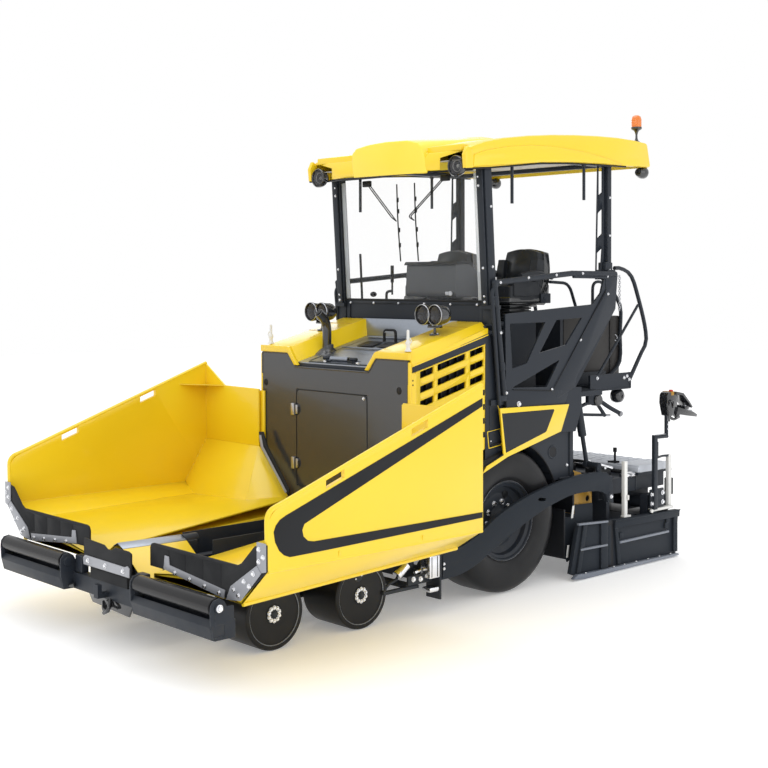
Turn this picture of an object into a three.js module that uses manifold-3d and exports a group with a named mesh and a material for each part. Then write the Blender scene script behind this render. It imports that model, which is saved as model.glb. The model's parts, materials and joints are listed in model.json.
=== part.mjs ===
// Compact wheeled asphalt paver, in millimetres, +Z up.
// The hopper is towards -Y, the screed towards +Y, and +X is the machine's left.
// Pieces are modelled from the rear axle, and the whole group is then moved
// along Y so that its origin is the middle of its footprint.
import * as THREE from 'three';
import { mergeVertices } from 'three/addons/utils/BufferGeometryUtils.js';
import { ConvexGeometry } from 'three/addons/geometries/ConvexGeometry.js';
import Module from 'manifold-3d';

const wasm = await Module();
wasm.setup();

// ---------- clearances ----------
const seat = 0.3; // between faces that rest on each other
const pinPlay = 0.5; // on the radius, between a pin and its eye
const running = 12; // between pieces that move past each other

// ---------- rear wheels and axle ----------
const rearRadius = 550;
const rearWidth = 390;
const trackOuter = 900; // outer face of every wheel, from the middle
const rimRadius = 300;

// ---------- front wheels and bogies ----------
const frontRadius = 234;
const frontWidth = 360;
const frontAxleY = -2240;
const middleAxleY = -1492;
const kingpinX = 470;
const kingpinRadius = 18;
const bogieInner = 360;
const bogieOuter = 425;

// ---------- chassis ----------
const railX = 300; // inner face of a chassis rail
const railThickness = 40;
const railBottom = 290;
const railTop = 500;
const chassisFront = -2700;
const chassisRear = 790;
const deckZ = 660;
const deckThickness = 20;

// ---------- hopper ----------
const wingFront = -2830;
const wingRear = -1030;
const wingOuter = 1600;
const wingSheet = 30;
const wingTopFront = 1050;
const wingTopRear = 1685;
const wingNoseRadius = 150;
const floorInner = 400;
const floorOuter = 1300;
const creaseZ = 715;
const chamferX = 1350;
const wingBottomFront = 480;
const wingBottomRear = 560;
const hingeX = 440;
const hingeZ = 460;
const hingeStations = [-2560, -1900, -1240];
const flapThickness = 15;

// ---------- push beam ----------
const rollerY = -2980;
const rollerZ = 480;
const rollerRadius = 55;
const rollerInner = 460;
const rollerOuter = 1300;

// ---------- engine hood ----------
const hoodHalf = 860;
const hoodFront = -1005;
const hoodRear = -190;
const hoodTopFront = 1838;
const hoodTopRear = 2052;
const hoodSheet = 20;
const wellHalf = 450; // half width of the sunken middle
const wellDepth = 100;
const doorHalf = 415;
const doorBottom = 786;
const doorTop = 1540;

// ---------- operator's platform ----------
const platformHalf = 870;
const platformFront = -182;
const bodyRear = 783;
const bodyTop = 1440;
const floorTop = 1480;
const platformRear = 1150;
const sideX = 885; // inner face of a side frame
const skirtX = 900; // inner face of the painted skirt below it
const sideSheet = 18;
const skirtSheet = 16;
const railZ = 2430;
const postX = 830;
const postHalf = 45;
const seatX = 400;
const seatY = 560;

// ---------- canopy ----------
const canopyHalf = 900;
const canopySheet = 20;
const ribZ = 3340;

// ---------- screed ----------
const towY = -870;
const towZ = 330;
const towPin = 20;
const armX = 930;
const armSheet = 40;
const screedHalf = 850;
const screedFront = 1250;
const screedDepth = 390;
const plateTop = 390;
const extensionFront = 1660;
const extensionRear = 2030;
const gateX = 930;
const gateSheet = 40;
const gateTop = 400;
const augerY = 985;
const augerZ = 330;
const augerRadius = 150;

// ---------- lift cylinders ----------
const liftX = 820;
const liftTop = [900, 1425];
const liftEye = [1030, 875];

// ---------- ends of the whole machine, for the origin ----------
const handsetRear = 2267;
const foremost = rollerY - rollerRadius;
const rearmost = handsetRear;

// ---------- materials ----------
function paint(color, roughness, metalness) {
  return new THREE.MeshStandardMaterial({ color, roughness, metalness });
}
const yellow = paint(0xf6c90e, 0.35, 0.0);
const dark = paint(0x2b2e33, 0.5, 0.1);
const rubber = paint(0x1b1c1e, 0.85, 0.0);
const steel = paint(0x9a9da1, 0.4, 0.8);
const ochre = paint(0xb07c10, 0.5, 0.0);
const glass = paint(0xbfcfd6, 0.05, 0.0);
const amber = paint(0xe0641a, 0.3, 0.0);

// ---------- shapes ----------
// A closed solid from a three.js geometry, with its corners shared.
function solid(geometry) {
  const bare = geometry.clone();
  bare.deleteAttribute('normal');
  bare.deleteAttribute('uv');
  const merged = mergeVertices(bare, 1e-3);
  const corners = merged.index.array;
  const kept = [];
  for (let i = 0; i < corners.length; i += 3) {
    const [a, b, c] = [corners[i], corners[i + 1], corners[i + 2]];
    if (a !== b && b !== c && c !== a) {
      kept.push(a, b, c);
    }
  }
  return new wasm.Manifold(new wasm.Mesh({
    numProp: 3,
    vertProperties: Float32Array.from(merged.attributes.position.array),
    triVerts: Uint32Array.from(kept),
  }));
}

function join(...pieces) {
  return pieces.flat().reduce((whole, piece) => whole.add(piece));
}

function cut(whole, ...pieces) {
  return pieces.flat().reduce((rest, piece) => rest.subtract(piece), whole);
}

function box(x0, x1, y0, y1, z0, z1) {
  const size = [Math.abs(x1 - x0), Math.abs(y1 - y0), Math.abs(z1 - z0)];
  const shape = new THREE.BoxGeometry(...size);
  return solid(shape.translate((x0 + x1) / 2, (y0 + y1) / 2, (z0 + z1) / 2));
}

// An outline of [a, b] points carried along one axis between two places.
// The outline's plane is (y, z) for axis x, (x, z) for axis y, (x, y) for axis z.
function prism(axis, points, from, to) {
  const start = Math.min(from, to);
  const depth = Math.abs(to - from);
  const outline = new THREE.Shape(points.map(([a, b]) => new THREE.Vector2(a, b)));
  const shape = new THREE.ExtrudeGeometry(outline, { depth, bevelEnabled: false });
  const turn = new THREE.Matrix4();
  if (axis === 'x') {
    turn.set(0, 0, 1, start, 1, 0, 0, 0, 0, 1, 0, 0, 0, 0, 0, 1);
  } else if (axis === 'y') {
    turn.set(1, 0, 0, 0, 0, 0, -1, start + depth, 0, 1, 0, 0, 0, 0, 0, 1);
  } else {
    turn.makeTranslation(0, 0, start);
  }
  return solid(shape.applyMatrix4(turn));
}

// A rod along one axis through the point (a, b) of the other two, as in prism.
function rod(axis, a, b, radius, from, to, sides = 16) {
  const length = Math.abs(to - from);
  const middle = (from + to) / 2;
  const shape = new THREE.CylinderGeometry(radius, radius, length, sides);
  if (axis === 'x') {
    return solid(shape.rotateZ(-Math.PI / 2).translate(middle, a, b));
  }
  if (axis === 'y') {
    return solid(shape.translate(a, middle, b));
  }
  return solid(shape.rotateX(Math.PI / 2).translate(a, b, middle));
}

// A bar of round section between two points.
function bar(start, end, radius, sides = 12) {
  const from = new THREE.Vector3(...start);
  const to = new THREE.Vector3(...end);
  const along = to.clone().sub(from);
  const shape = new THREE.CylinderGeometry(radius, radius, along.length(), sides);
  const turn = new THREE.Quaternion();
  turn.setFromUnitVectors(new THREE.Vector3(0, 1, 0), along.clone().normalize());
  shape.applyQuaternion(turn);
  shape.translate(...from.add(to).multiplyScalar(0.5).toArray());
  return solid(shape);
}

// A bent pipe through the points given.
function pipe(points, radius, steps = 16, sides = 8) {
  const path = new THREE.CatmullRomCurve3(points.map((p) => new THREE.Vector3(...p)));
  const section = new THREE.Shape();
  section.absarc(0, 0, radius, 0, 2 * Math.PI);
  const curveSegments = sides / 2;
  const options = { steps, extrudePath: path, curveSegments, bevelEnabled: false };
  return solid(new THREE.ExtrudeGeometry(section, options));
}

function hull(points) {
  return solid(new ConvexGeometry(points.map((p) => new THREE.Vector3(...p))));
}

// A flat sheet with the corners given, thickened along one direction.
function sheet(points, [dx, dy, dz]) {
  return hull(points.concat(points.map(([x, y, z]) => [x + dx, y + dy, z + dz])));
}

// A solid of revolution about the X axis from [radius, x] points.
function turned(profile, sides = 32) {
  const points = profile.map(([radius, x]) => new THREE.Vector2(radius, x)).reverse();
  return solid(new THREE.LatheGeometry(points, sides).rotateZ(-Math.PI / 2));
}

function bothSides(make) {
  return join(make(1), make(-1));
}

// A hinge: end collars and a pin for the carrier, an eye for what swings.
function hinge(axis, a, b, middle, length, pinRadius) {
  const outer = pinRadius * 2;
  const eyeHalf = length / 4;
  const collar = (side) => rod(axis, a, b, outer,
    middle + side * (eyeHalf + pinPlay), middle + side * length / 2, 12);
  const pin = rod(axis, a, b, pinRadius, middle - length / 2, middle + length / 2, 12);
  const eye = rod(axis, a, b, outer, middle - eyeHalf, middle + eyeHalf, 12);
  const bore = rod(axis, a, b, pinRadius + pinPlay, middle - length, middle + length, 12);
  return { fixed: join(pin, bothSides(collar)), moving: cut(eye, bore), bore };
}

// ---------- the assembly ----------
const paver = new THREE.Group();
paver.position.y = -(foremost + rearmost) / 2;

function geometryOf(shape, side = 1) {
  const data = shape.getMesh();
  const positions = new Float32Array(data.numVert * 3);
  for (let i = 0; i < data.numVert; i += 1) {
    const at = i * data.numProp;
    positions[3 * i] = side * data.vertProperties[at];
    positions[3 * i + 1] = data.vertProperties[at + 1];
    positions[3 * i + 2] = data.vertProperties[at + 2];
  }
  const index = Array.from(data.triVerts);
  if (side < 0) {
    for (let i = 0; i < index.length; i += 3) {
      [index[i], index[i + 1]] = [index[i + 1], index[i]];
    }
  }
  const geometry = new THREE.BufferGeometry();
  geometry.setAttribute('position', new THREE.BufferAttribute(positions, 3));
  geometry.setIndex(index);
  geometry.computeVertexNormals();
  return geometry;
}

function add(name, shape, material, place = [0, 0, 0]) {
  const mesh = new THREE.Mesh(geometryOf(shape), material);
  mesh.name = name;
  mesh.position.set(...place);
  paver.add(mesh);
}

// The left piece as modelled, and its mirror image on the right.
function addPair(name, shape, material, [x, y, z] = [0, 0, 0]) {
  for (const [label, side] of [['left', 1], ['right', -1]]) {
    const mesh = new THREE.Mesh(geometryOf(shape, side), material);
    mesh.name = `${name}_${label}`;
    mesh.position.set(side * x, y, z);
    paver.add(mesh);
  }
}

// ---------- rear wheels and axle ----------
const rearHalf = rearWidth / 2;
const rearWheelX = trackOuter - rearHalf;
const webOuter = 20;
const webInner = -10;
const hubRadius = 95;
const rearProfile = [
  [0, 70], [hubRadius, 70], [hubRadius, webOuter], [rimRadius - 30, webOuter],
  [rimRadius - 30, 150], [rimRadius, 150], [rimRadius + 30, 185],
  [rimRadius + 120, rearHalf], [rearRadius - 50, 185], [rearRadius - 10, 160],
  [rearRadius, 120], [rearRadius, -120], [rearRadius - 10, -160],
  [rearRadius - 50, -185], [rimRadius + 120, -rearHalf],
  [rimRadius + 30, -185], [rimRadius, -150], [rimRadius - 30, -150],
  [rimRadius - 30, webInner], [0, webInner],
];
addPair('rear_wheel', turned(rearProfile, 40), rubber, [rearWheelX, 0, rearRadius]);

const axleHalf = 45;
add('rear_axle', join(
  box(-500, 500, -70, 70, railTop + seat, rearRadius + axleHalf),
  bothSides((side) => rod('x', 0, rearRadius, 85, side * 380,
    side * (rearWheelX + webInner - seat))),
), dark);

// ---------- front axle, bogies, knuckles and wheels ----------
const bogieMiddle = (frontAxleY + middleAxleY) / 2;
const bogieTop = 320;
const bogieBottom = 160;
const lugThickness = 19;
const barrelHalf = 85;
const barrelRadius = 45;

function bogie(side) {
  const beam = box(side * bogieInner, side * bogieOuter, frontAxleY - 90, middleAxleY + 90,
    bogieBottom, bogieTop);
  const lugs = [frontAxleY, middleAxleY].map((y) => {
    const ears = [frontRadius + barrelHalf + pinPlay, frontRadius - barrelHalf - pinPlay
      - lugThickness].map((z) => join(
      box(side * bogieInner, side * kingpinX, y - barrelRadius, y + barrelRadius,
        z, z + lugThickness),
      rod('z', side * kingpinX, y, barrelRadius, z, z + lugThickness),
    ));
    const pin = rod('z', side * kingpinX, y, kingpinRadius,
      frontRadius - barrelHalf - 5, frontRadius + barrelHalf + 5);
    const root = box(side * bogieInner, side * (bogieOuter - 5), y - barrelRadius,
      y + barrelRadius, frontRadius - barrelHalf - lugThickness, frontRadius + barrelHalf + 10);
    return join(...ears, pin, root);
  });
  const room = [frontAxleY, middleAxleY].map((y) => rod('z', side * kingpinX, y,
    barrelRadius + 5, frontRadius - barrelHalf - pinPlay, frontRadius + barrelHalf + pinPlay));
  const pins = [frontAxleY, middleAxleY].map((y) => rod('z', side * kingpinX, y,
    kingpinRadius, frontRadius - barrelHalf - 5, frontRadius + barrelHalf + 5));
  return join(cut(join(beam, ...lugs), ...room), ...pins);
}
add('front_axle', join(
  box(-bogieInner, bogieInner, bogieMiddle - 70, bogieMiddle + 70,
    170, railBottom - seat),
  bothSides(bogie),
), dark);

const frontWheelX = trackOuter - frontWidth / 2;
const frontHalf = frontWidth / 2;
const recess = -60;
const frontProfile = [
  [0, 176], [52, 176], [60, 162], [190, 162], [196, frontHalf], [225, frontHalf],
  [frontRadius, 170], [frontRadius, -170], [225, -frontHalf], [150, -frontHalf],
  [150, recess], [0, recess],
];
const knuckleShape = cut(
  join(
    rod('z', 0, 0, barrelRadius, -barrelHalf, barrelHalf),
    rod('x', 0, 0, 40, 0, frontWheelX - kingpinX + recess - seat),
  ),
  rod('z', 0, 0, kingpinRadius + pinPlay, -200, 200),
);
for (const [place, y] of [['front', frontAxleY], ['middle', middleAxleY]]) {
  addPair(`${place}_knuckle`, knuckleShape, dark, [kingpinX, y, frontRadius]);
  addPair(`${place}_wheel`, turned(frontProfile), rubber, [frontWheelX, y, frontRadius]);
}

// Room for the rear wheels in whatever stands over them.
const archRadius = rearRadius + 60;
const centreHalf = 470;
const wheelRoom = bothSides((side) => rod('x', 0, rearRadius, archRadius,
  side * centreHalf, side * 1000, 48));

// ---------- chassis ----------
const railOuter = railX + railThickness;
const tunnelRoof = 480;
const dividerHalf = 40;

function chassisSide(side) {
  const rail = box(side * railX, side * railOuter, chassisFront, chassisRear,
    railBottom, railTop);
  const web = box(side * railX, side * railOuter, hoodFront + 20, bodyRear - 5,
    railTop - 1, deckZ - 20);
  const axleRoom = box(side * (railX - 10), side * (railOuter + 10), -80, 80, railTop, deckZ);
  const post = box(side * railX, side * railOuter, hoodFront + 20, hoodRear,
    deckZ - 30, deckZ + 1);
  const towArm = box(side * railX, side * (armX - running), towY - 60, towY + 40, 240, 320);
  const towBoss = rod('x', towY, towZ, 50, side * 840, side * (armX - running));
  const pin = rod('x', towY, towZ, towPin, side * 850, side * (armX + armSheet + 20));
  const washer = rod('x', towY, towZ, 45, side * (armX + armSheet + 5),
    side * (armX + armSheet + 20));
  return join(cut(join(rail, web), axleRoom), post, towArm, towBoss, pin, washer);
}

const wingHinges = hingeStations.map((y) => hinge('y', hingeX, hingeZ, y, 120, 12));
const hingeLeaves = hingeStations.map((y) => join(
  box(railX + 10, hingeX, y - 60, y - 32, hingeZ - 44, hingeZ - 18),
  box(railX + 10, hingeX, y + 32, y + 60, hingeZ - 44, hingeZ - 18),
));
const leftHinges = join(...wingHinges.map((part) => part.fixed), ...hingeLeaves);
const rightHinges = solid(geometryOf(leftHinges, -1));

add('main_frame', join(
  bothSides(chassisSide),
  box(-railX - 5, railX + 5, chassisFront, chassisRear, railBottom, railBottom + 20),
  box(-dividerHalf, dividerHalf, chassisFront, chassisRear, railBottom, tunnelRoof),
  box(-railX - 5, railX + 5, hoodFront, chassisRear, tunnelRoof, railTop),
  box(-railX - 5, railX + 5, hoodFront + 30, hoodFront + 60, railTop - 1, deckZ + 1),
  cut(box(-hoodHalf, hoodHalf, hoodFront + 20, hoodRear, deckZ, deckZ + deckThickness),
    wheelRoom),
  leftHinges,
  rightHinges,
), dark);

// ---------- push beam with its rollers ----------
const beamFront = rollerY + 45;
const beamRear = -2860;
const beamTop = 400;
function rollerBrackets(side) {
  const plates = [rollerInner - 20, rollerOuter + running / 2].map((x) => join(
    box(side * x, side * (x + 14), rollerY - 25, beamRear - 10, beamTop - 20, rollerZ),
    rod('x', rollerY, rollerZ, 25, side * x, side * (x + 14)),
  ));
  const shaft = rod('x', rollerY, rollerZ, 12, side * (rollerInner - 20),
    side * (rollerOuter + running / 2 + 14), 16);
  const skirt = box(side * (rollerInner - 20), side * (rollerOuter + 20),
    rollerY - 25, beamFront, beamTop - 110, beamTop - 90);
  const arm = box(side * railX, side * railOuter, beamRear - 5, chassisFront - seat,
    railBottom, beamTop);
  return join(...plates, shaft, skirt, arm);
}
const hook = join(
  box(-25, 25, rollerY - 40, beamFront + 5, beamTop - 90, beamTop - 60),
  box(-25, 25, rollerY - 40, rollerY - 10, beamTop - 90, beamTop),
);
add('push_beam', join(
  box(-rollerOuter - 20, rollerOuter + 20, beamFront, beamRear, beamTop - 110, beamTop),
  bothSides(rollerBrackets),
  hook,
), dark);

const rollerHalf = (rollerOuter - rollerInner - running / 2) / 2;
const rollerShape = cut(
  rod('x', 0, 0, rollerRadius, -rollerHalf, rollerHalf, 32),
  rod('x', 0, 0, 12 + pinPlay, -rollerHalf - 10, rollerHalf + 10, 16),
);
addPair('push_roller', rollerShape, dark,
  [(rollerInner + rollerOuter) / 2, rollerY, rollerZ]);

// A rubber flap over the mouth between the two conveyors.
add('center_flap', join(
  prism('y', [[-270, 475], [330, 475], [330, 640], [60, 600], [-270, 640]],
    beamFront - 20, beamFront - 5),
  box(-200, 260, beamFront - 10, beamRear, beamTop + seat, 474),
  box(-200, 260, beamFront - 10, beamFront + 10, 470, 520),
), rubber);

// ---------- hopper wings ----------
const floorRiseInner = (661 - 536) / (2590 - 1390);
function floorInnerZ(y) {
  return 536 + (y + 2590) * floorRiseInner;
}
function floorOuterZ(y) {
  return 640 + (y + 2580) * 0.0157;
}
function bottomZ(y) {
  const share = (y - wingFront) / (wingRear - wingFront);
  return wingBottomFront + share * (wingBottomRear - wingBottomFront);
}
const wallInner = wingOuter - wingSheet;
const backFoot = -1400; // where the hopper's sloping back meets the floor
const backTop = 1518;

function wingEnd(y, points) {
  return points.map(([x, z]) => [x, y, z]);
}
function floorSection(y) {
  return wingEnd(y, [[floorInner, floorInnerZ(y)], [floorOuter, floorOuterZ(y)],
    [floorOuter, bottomZ(y)], [floorInner, bottomZ(y)]]);
}
function cornerSection(y) {
  return wingEnd(y, [[floorOuter, floorOuterZ(y)], [wallInner, creaseZ],
    [wingOuter, creaseZ], [chamferX, bottomZ(y)], [floorOuter, bottomZ(y)]]);
}

// Two slots under the wall's top edge, each by the ends of its upper side.
const lashingSlots = [[[-2391, 1217], [-2253, 1270]], [[-1685, 1464], [-1547, 1517]]];
const slotHeight = 36;
function wingWall() {
  const rise = (wingTopRear - wingTopFront) / (wingRear - wingFront);
  const points = [[wingRear, creaseZ - 2], [wingFront, creaseZ - 2]];
  const slope = Math.atan(rise);
  const reach = wingNoseRadius * Math.tan((Math.PI / 2 - slope) / 2);
  const centre = [wingFront + wingNoseRadius, wingTopFront - reach];
  const turns = 6;
  for (let i = 0; i <= turns; i += 1) {
    const angle = Math.PI - (i / turns) * (Math.PI / 2 - slope);
    points.push([centre[0] + wingNoseRadius * Math.cos(angle),
      centre[1] + wingNoseRadius * Math.sin(angle)]);
  }
  points.push([wingRear, wingTopRear]);
  const slots = lashingSlots.map(([[y0, z0], [y1, z1]]) => prism('x', [[y0, z0],
    [y1, z1], [y1, z1 - slotHeight], [y0, z0 - slotHeight]], wallInner - 10, wingOuter + 10));
  return cut(prism('x', points, wallInner, wingOuter), ...slots);
}

const backThickness = [0, wingSheet * 0.6, 0];
const backTopY = wingRear - wingSheet * 0.6;
const wingBack = join(
  sheet([[floorInner, backFoot, floorInnerZ(backFoot) - 30],
    [floorOuter, backFoot, floorInnerZ(backFoot) - 30],
    [floorOuter, backTopY, backTop], [840, backTopY, backTop]], backThickness),
  sheet([[floorOuter - 1, backFoot, floorOuterZ(backFoot) - 30],
    [wallInner + 5, backFoot + 200, creaseZ - 10], [wallInner + 5, backTopY, 1064],
    [floorOuter - 1, backTopY, backTop]], backThickness),
  sheet([[wallInner + 5, backTopY, 1064], [floorOuter - 1, backTopY, backTop],
    [wallInner + 5, backTopY, wingTopRear - 5]], backThickness),
);

const wingEyes = wingHinges.map((part, i) => cut(join(
  part.moving,
  box(hingeX - 16, hingeX + 20, hingeStations[i] - 30, hingeStations[i] + 30,
    hingeZ + 14, bottomZ(hingeStations[i]) + 10),
), part.bore));
addPair('hopper_wing', join(
  hull(floorSection(wingFront).concat(floorSection(wingRear))),
  hull(cornerSection(wingFront).concat(cornerSection(wingRear))),
  wingWall(),
  wingBack,
  ...wingEyes,
), yellow);

const flapRear = wingFront - seat;
addPair('front_flap', prism('y', [
  [floorInner - 20, 595], [floorInner - 20, 695], [floorInner - 5, 710], [1320, 710],
  [1490, 850], [1608, 870], [1606, 714], [1355, 514], [1210, 505], [540, 570],
], flapRear - flapThickness, flapRear), rubber);

// ---------- engine and hood ----------
const deckTop = deckZ + deckThickness;
add('engine_block', box(-350, 350, -850, -330, deckTop + seat, 1450), steel);

const hoodSlope = (hoodTopRear - hoodTopFront) / (hoodRear - hoodFront);
function hoodZ(y) {
  return hoodTopFront + (y - hoodFront) * hoodSlope;
}
function hoodOutline(front, rear, bottom, drop) {
  return [[front, bottom], [rear, bottom], [rear, hoodZ(rear) - drop],
    [front, hoodZ(front) - drop]];
}
const panelRear = hoodFront + 20;
const shellFront = panelRear + seat;
const lidFront = -930;
const lidRear = -300;
const lidPlay = 8;
const lidHalf = 330;
const ventRows = [0, 1, 2];
const ventColumns = [[-899, -761], [-723, -430], [-386, -237]];
const ventHeight = 50;
const ventDrop = 138; // from the hood's top to the first row
const ventPitch = 105;
function vents(side) {
  return ventRows.flatMap((row) => ventColumns.map(([y0, y1]) => {
    const drop = ventDrop + row * ventPitch;
    return prism('x', [[y0, hoodZ(y0) - drop - ventHeight], [y1, hoodZ(y1) - drop - ventHeight],
      [y1, hoodZ(y1) - drop], [y0, hoodZ(y0) - drop]],
    side * (hoodHalf - 40), side * (hoodHalf + 10));
  }));
}
const hoodBody = prism('x', hoodOutline(shellFront, hoodRear, deckTop + seat, 0),
  -hoodHalf, hoodHalf);
const hoodInside = prism('x', hoodOutline(shellFront - 10, hoodRear - hoodSheet,
  deckTop - 10, wellDepth + hoodSheet), -hoodHalf + hoodSheet, hoodHalf - hoodSheet);
const hoodSides = bothSides((side) => prism('x',
  hoodOutline(shellFront - 10, hoodRear - hoodSheet, deckTop - 10, hoodSheet + 40),
  side * (wellHalf + hoodSheet), side * (hoodHalf - hoodSheet)));
const well = prism('x', [[shellFront - 10, hoodZ(shellFront) - wellDepth],
  [lidRear + 60, hoodZ(lidRear + 60) - wellDepth], [hoodRear + 10, hoodZ(hoodRear) - 10],
  [hoodRear + 10, 2200], [shellFront - 10, 2200]], -wellHalf, wellHalf);
// The long top edges are bevelled.
const bevelWidth = 60;
const bevelDrop = 45;
const bevels = bothSides((side) => hull([shellFront - 10, hoodRear + 10].flatMap((y) => [
  [side * (hoodHalf - bevelWidth), y, hoodZ(y)],
  [side * (hoodHalf - bevelWidth), y, hoodZ(y) + 50],
  [side * (hoodHalf + 20), y, hoodZ(y) + 50],
  [side * (hoodHalf + 20), y, hoodZ(y) - bevelDrop * (1 + 20 / bevelWidth)]])));
const lidHole = prism('x', hoodOutline(lidFront, lidRear, 1000, 0),
  -lidHalf, lidHalf);
const lidHinge = hinge('x', lidFront + 20, hoodZ(lidFront + 20) - wellDepth + 20, 0, 400, 10);
const lidLeaves = bothSides((side) => box(side * 115, side * 195, lidFront - 30, lidFront + 30,
  hoodZ(lidFront) - wellDepth - 15, hoodZ(lidFront) - wellDepth + 18));
add('hood_shell', join(
  cut(hoodBody, hoodInside, hoodSides, well, lidHole, vents(1), vents(-1), wheelRoom, bevels),
  lidHinge.fixed,
  cut(lidLeaves, lidHinge.bore),
), yellow);

const lidPlate = prism('x', [[lidFront + lidPlay, hoodZ(lidFront + lidPlay) - wellDepth - 15],
  [lidRear - lidPlay, hoodZ(lidRear - lidPlay) - wellDepth - 15],
  [lidRear - lidPlay, hoodZ(lidRear - lidPlay) - wellDepth],
  [lidFront + lidPlay, hoodZ(lidFront + lidPlay) - wellDepth]],
-lidHalf + lidPlay, lidHalf - lidPlay);
const collarRoom = bothSides((side) => box(side * 95, side * 205, lidFront - 40, lidFront + 60,
  1600, 2000));
const handle = join(
  box(-70, -58, lidRear - 100, lidRear - 85, hoodZ(lidRear - 90) - wellDepth - 5,
    hoodZ(lidRear - 90) - wellDepth + 80),
  box(58, 70, lidRear - 100, lidRear - 85, hoodZ(lidRear - 90) - wellDepth - 5,
    hoodZ(lidRear - 90) - wellDepth + 80),
  box(-70, 70, lidRear - 100, lidRear - 85, hoodZ(lidRear - 90) - wellDepth + 68,
    hoodZ(lidRear - 90) - wellDepth + 80),
);
const lidEye = cut(join(
  lidHinge.moving,
  box(-90, 90, lidFront + 20, lidFront + 60, hoodZ(lidFront) - wellDepth - 8,
    hoodZ(lidFront) - wellDepth + 20),
), lidHinge.bore);
add('hood_lid', join(cut(lidPlate, collarRoom), handle, lidEye), steel);

// ---------- front panel and its access door ----------
const panelHalf = hoodHalf - hoodSheet;
const panelTop = hoodTopFront - 26;
const doorPlay = 6;
const doorHinges = [1380, 960].map((z) => hinge('z', -doorHalf, hoodFront - 12, z, 90, 5));
const doorHole = box(-doorHalf, doorHalf, hoodFront - 30, panelRear + 20, doorBottom, doorTop);
const frontPlate = prism('y', [
  [-panelHalf, deckTop + seat], [panelHalf, deckTop + seat], [panelHalf, panelTop],
  [511, panelTop], [433, panelTop - 104], [-433, panelTop - 104], [-511, panelTop],
  [-panelHalf, panelTop],
], hoodFront, panelRear);
const doorLeaves = [1380, 960].map((z) => join(
  box(-doorHalf - 40, -doorHalf, hoodFront - 14, hoodFront + 5, z + 24, z + 44),
  box(-doorHalf - 40, -doorHalf, hoodFront - 14, hoodFront + 5, z - 44, z - 24),
));
add('front_panel', join(cut(frontPlate, doorHole), ...doorHinges.map((part) => part.fixed),
  ...doorLeaves), dark);
const doorEyes = [1380, 960].map((z, i) => cut(join(
  doorHinges[i].moving,
  box(-doorHalf, -doorHalf + 40, hoodFront - 14, hoodFront + 5, z - 21, z + 21),
), doorHinges[i].bore));
add('access_door', join(
  box(-doorHalf + doorPlay, doorHalf - doorPlay, hoodFront, panelRear - 4,
    doorBottom + doorPlay, doorTop - doorPlay),
  ...doorEyes,
), dark);

// ---------- lower body over the rear wheels ----------
add('lower_body', join(
  box(-centreHalf, centreHalf, platformFront, bodyRear, deckZ - 20 + seat, bodyTop),
  bothSides((side) => cut(
    box(side * (centreHalf - 5), side * platformHalf, platformFront, bodyRear, 800, bodyTop),
    wheelRoom,
  )),
), dark);

// ---------- operator's platform ----------
const seatBaseTop = 2040;
const cabinetHalf = 465;
const cabinetRear = 1900;
add('platform', join(
  box(-sideX + seat, sideX - seat, platformFront, platformRear, bodyTop + seat, floorTop),
  bothSides((side) => box(side * (seatX - 150), side * (seatX + 150), seatY - 150,
    seatY + 150, floorTop - 1, seatBaseTop)),
  box(-cabinetHalf, cabinetHalf, platformRear - 30, cabinetRear, bodyTop + 20, 2050),
), dark);

addPair('seat', join(
  box(-220, 220, -220, 200, 20, 130),
  box(-200, 200, 150, 230, 120, 540),
  rod('z', 0, 0, 120, seat, 25),
), rubber, [seatX, seatY, seatBaseTop]);

// Outer frame of the platform: a plate with cut-outs, a rail over it, a skirt below.
const plateOutline = [[-34, 1380], [622, 1179], [786, 1171], [860, 1355], [860, 1521],
  [786, 1525], [1297, 2139], [1326, 2423], [1161, 2423], [1106, 2270], [999, 2180],
  [-44, 2124]];
const skirtOutline = [[-312, 946], [-34, 1050], [591, 1188], [690, 1378], [690, 1400],
  [-90, 1411], [-22, 1090], [-265, 998]];
const windows = [
  [[550, 2065], [868, 2076], [667, 1864], [347, 1813]],
  [[8, 2050], [417, 2051], [201, 1740], [33, 1709]],
  [[586, 1751], [435, 1545], [33, 1563]],
];
const railTube = 22;
const tubeX = sideX + 15;
const postFoot = [-140, 2190];
const postHead = [-205, ribZ - 5];
const rearFoot = [1250, 2460];
const rearHead = [1250, ribZ - 5];
addPair('side_frame', join(
  cut(prism('x', plateOutline, sideX, sideX + sideSheet),
    ...windows.map((points) => prism('x', points, sideX - 10, sideX + sideSheet + 10))),
  prism('x', skirtOutline, skirtX, skirtX + skirtSheet),
  bar([tubeX, -55, 1510], [tubeX, -160, railZ - 70], railTube),
  bar([tubeX, -160, railZ - 70], [tubeX, 740, railZ], railTube),
  bar([tubeX, 740, railZ], [tubeX, 1300, railZ - 5], railTube),
  box(postX - postHalf, tubeX, postFoot[0] - 50, postFoot[0] + 50,
    postFoot[1] - 30, postFoot[1]),
  box(postX - postHalf, tubeX, rearFoot[0] - 50, rearFoot[0] + 50,
    rearFoot[1] - 60, rearFoot[1]),
), dark);

// Four posts and the rails that tie them under the roof.
function postAt(x, [y0, z0], [y1, z1]) {
  const ends = [[y0, z0 + seat], [y1, z1]];
  return hull(ends.flatMap(([y, z]) => [-1, 1].flatMap((a) => [-1, 1].map((b) => [
    x + a * postHalf, y + b * 40, z]))));
}
function roofSide(side) {
  const x = side * postX;
  return join(
    postAt(x, postFoot, postHead),
    postAt(x, rearFoot, rearHead),
    box(x - postHalf, x + postHalf, postHead[0] - 30, rearHead[0] + 40, ribZ - 40, ribZ),
  );
}
add('roof_frame', join(
  bothSides(roofSide),
  ...[postHead[0], rearHead[0]].map((y) => box(-postX, postX, y - 25, y + 25,
    ribZ - 40, ribZ)),
), dark);

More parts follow.
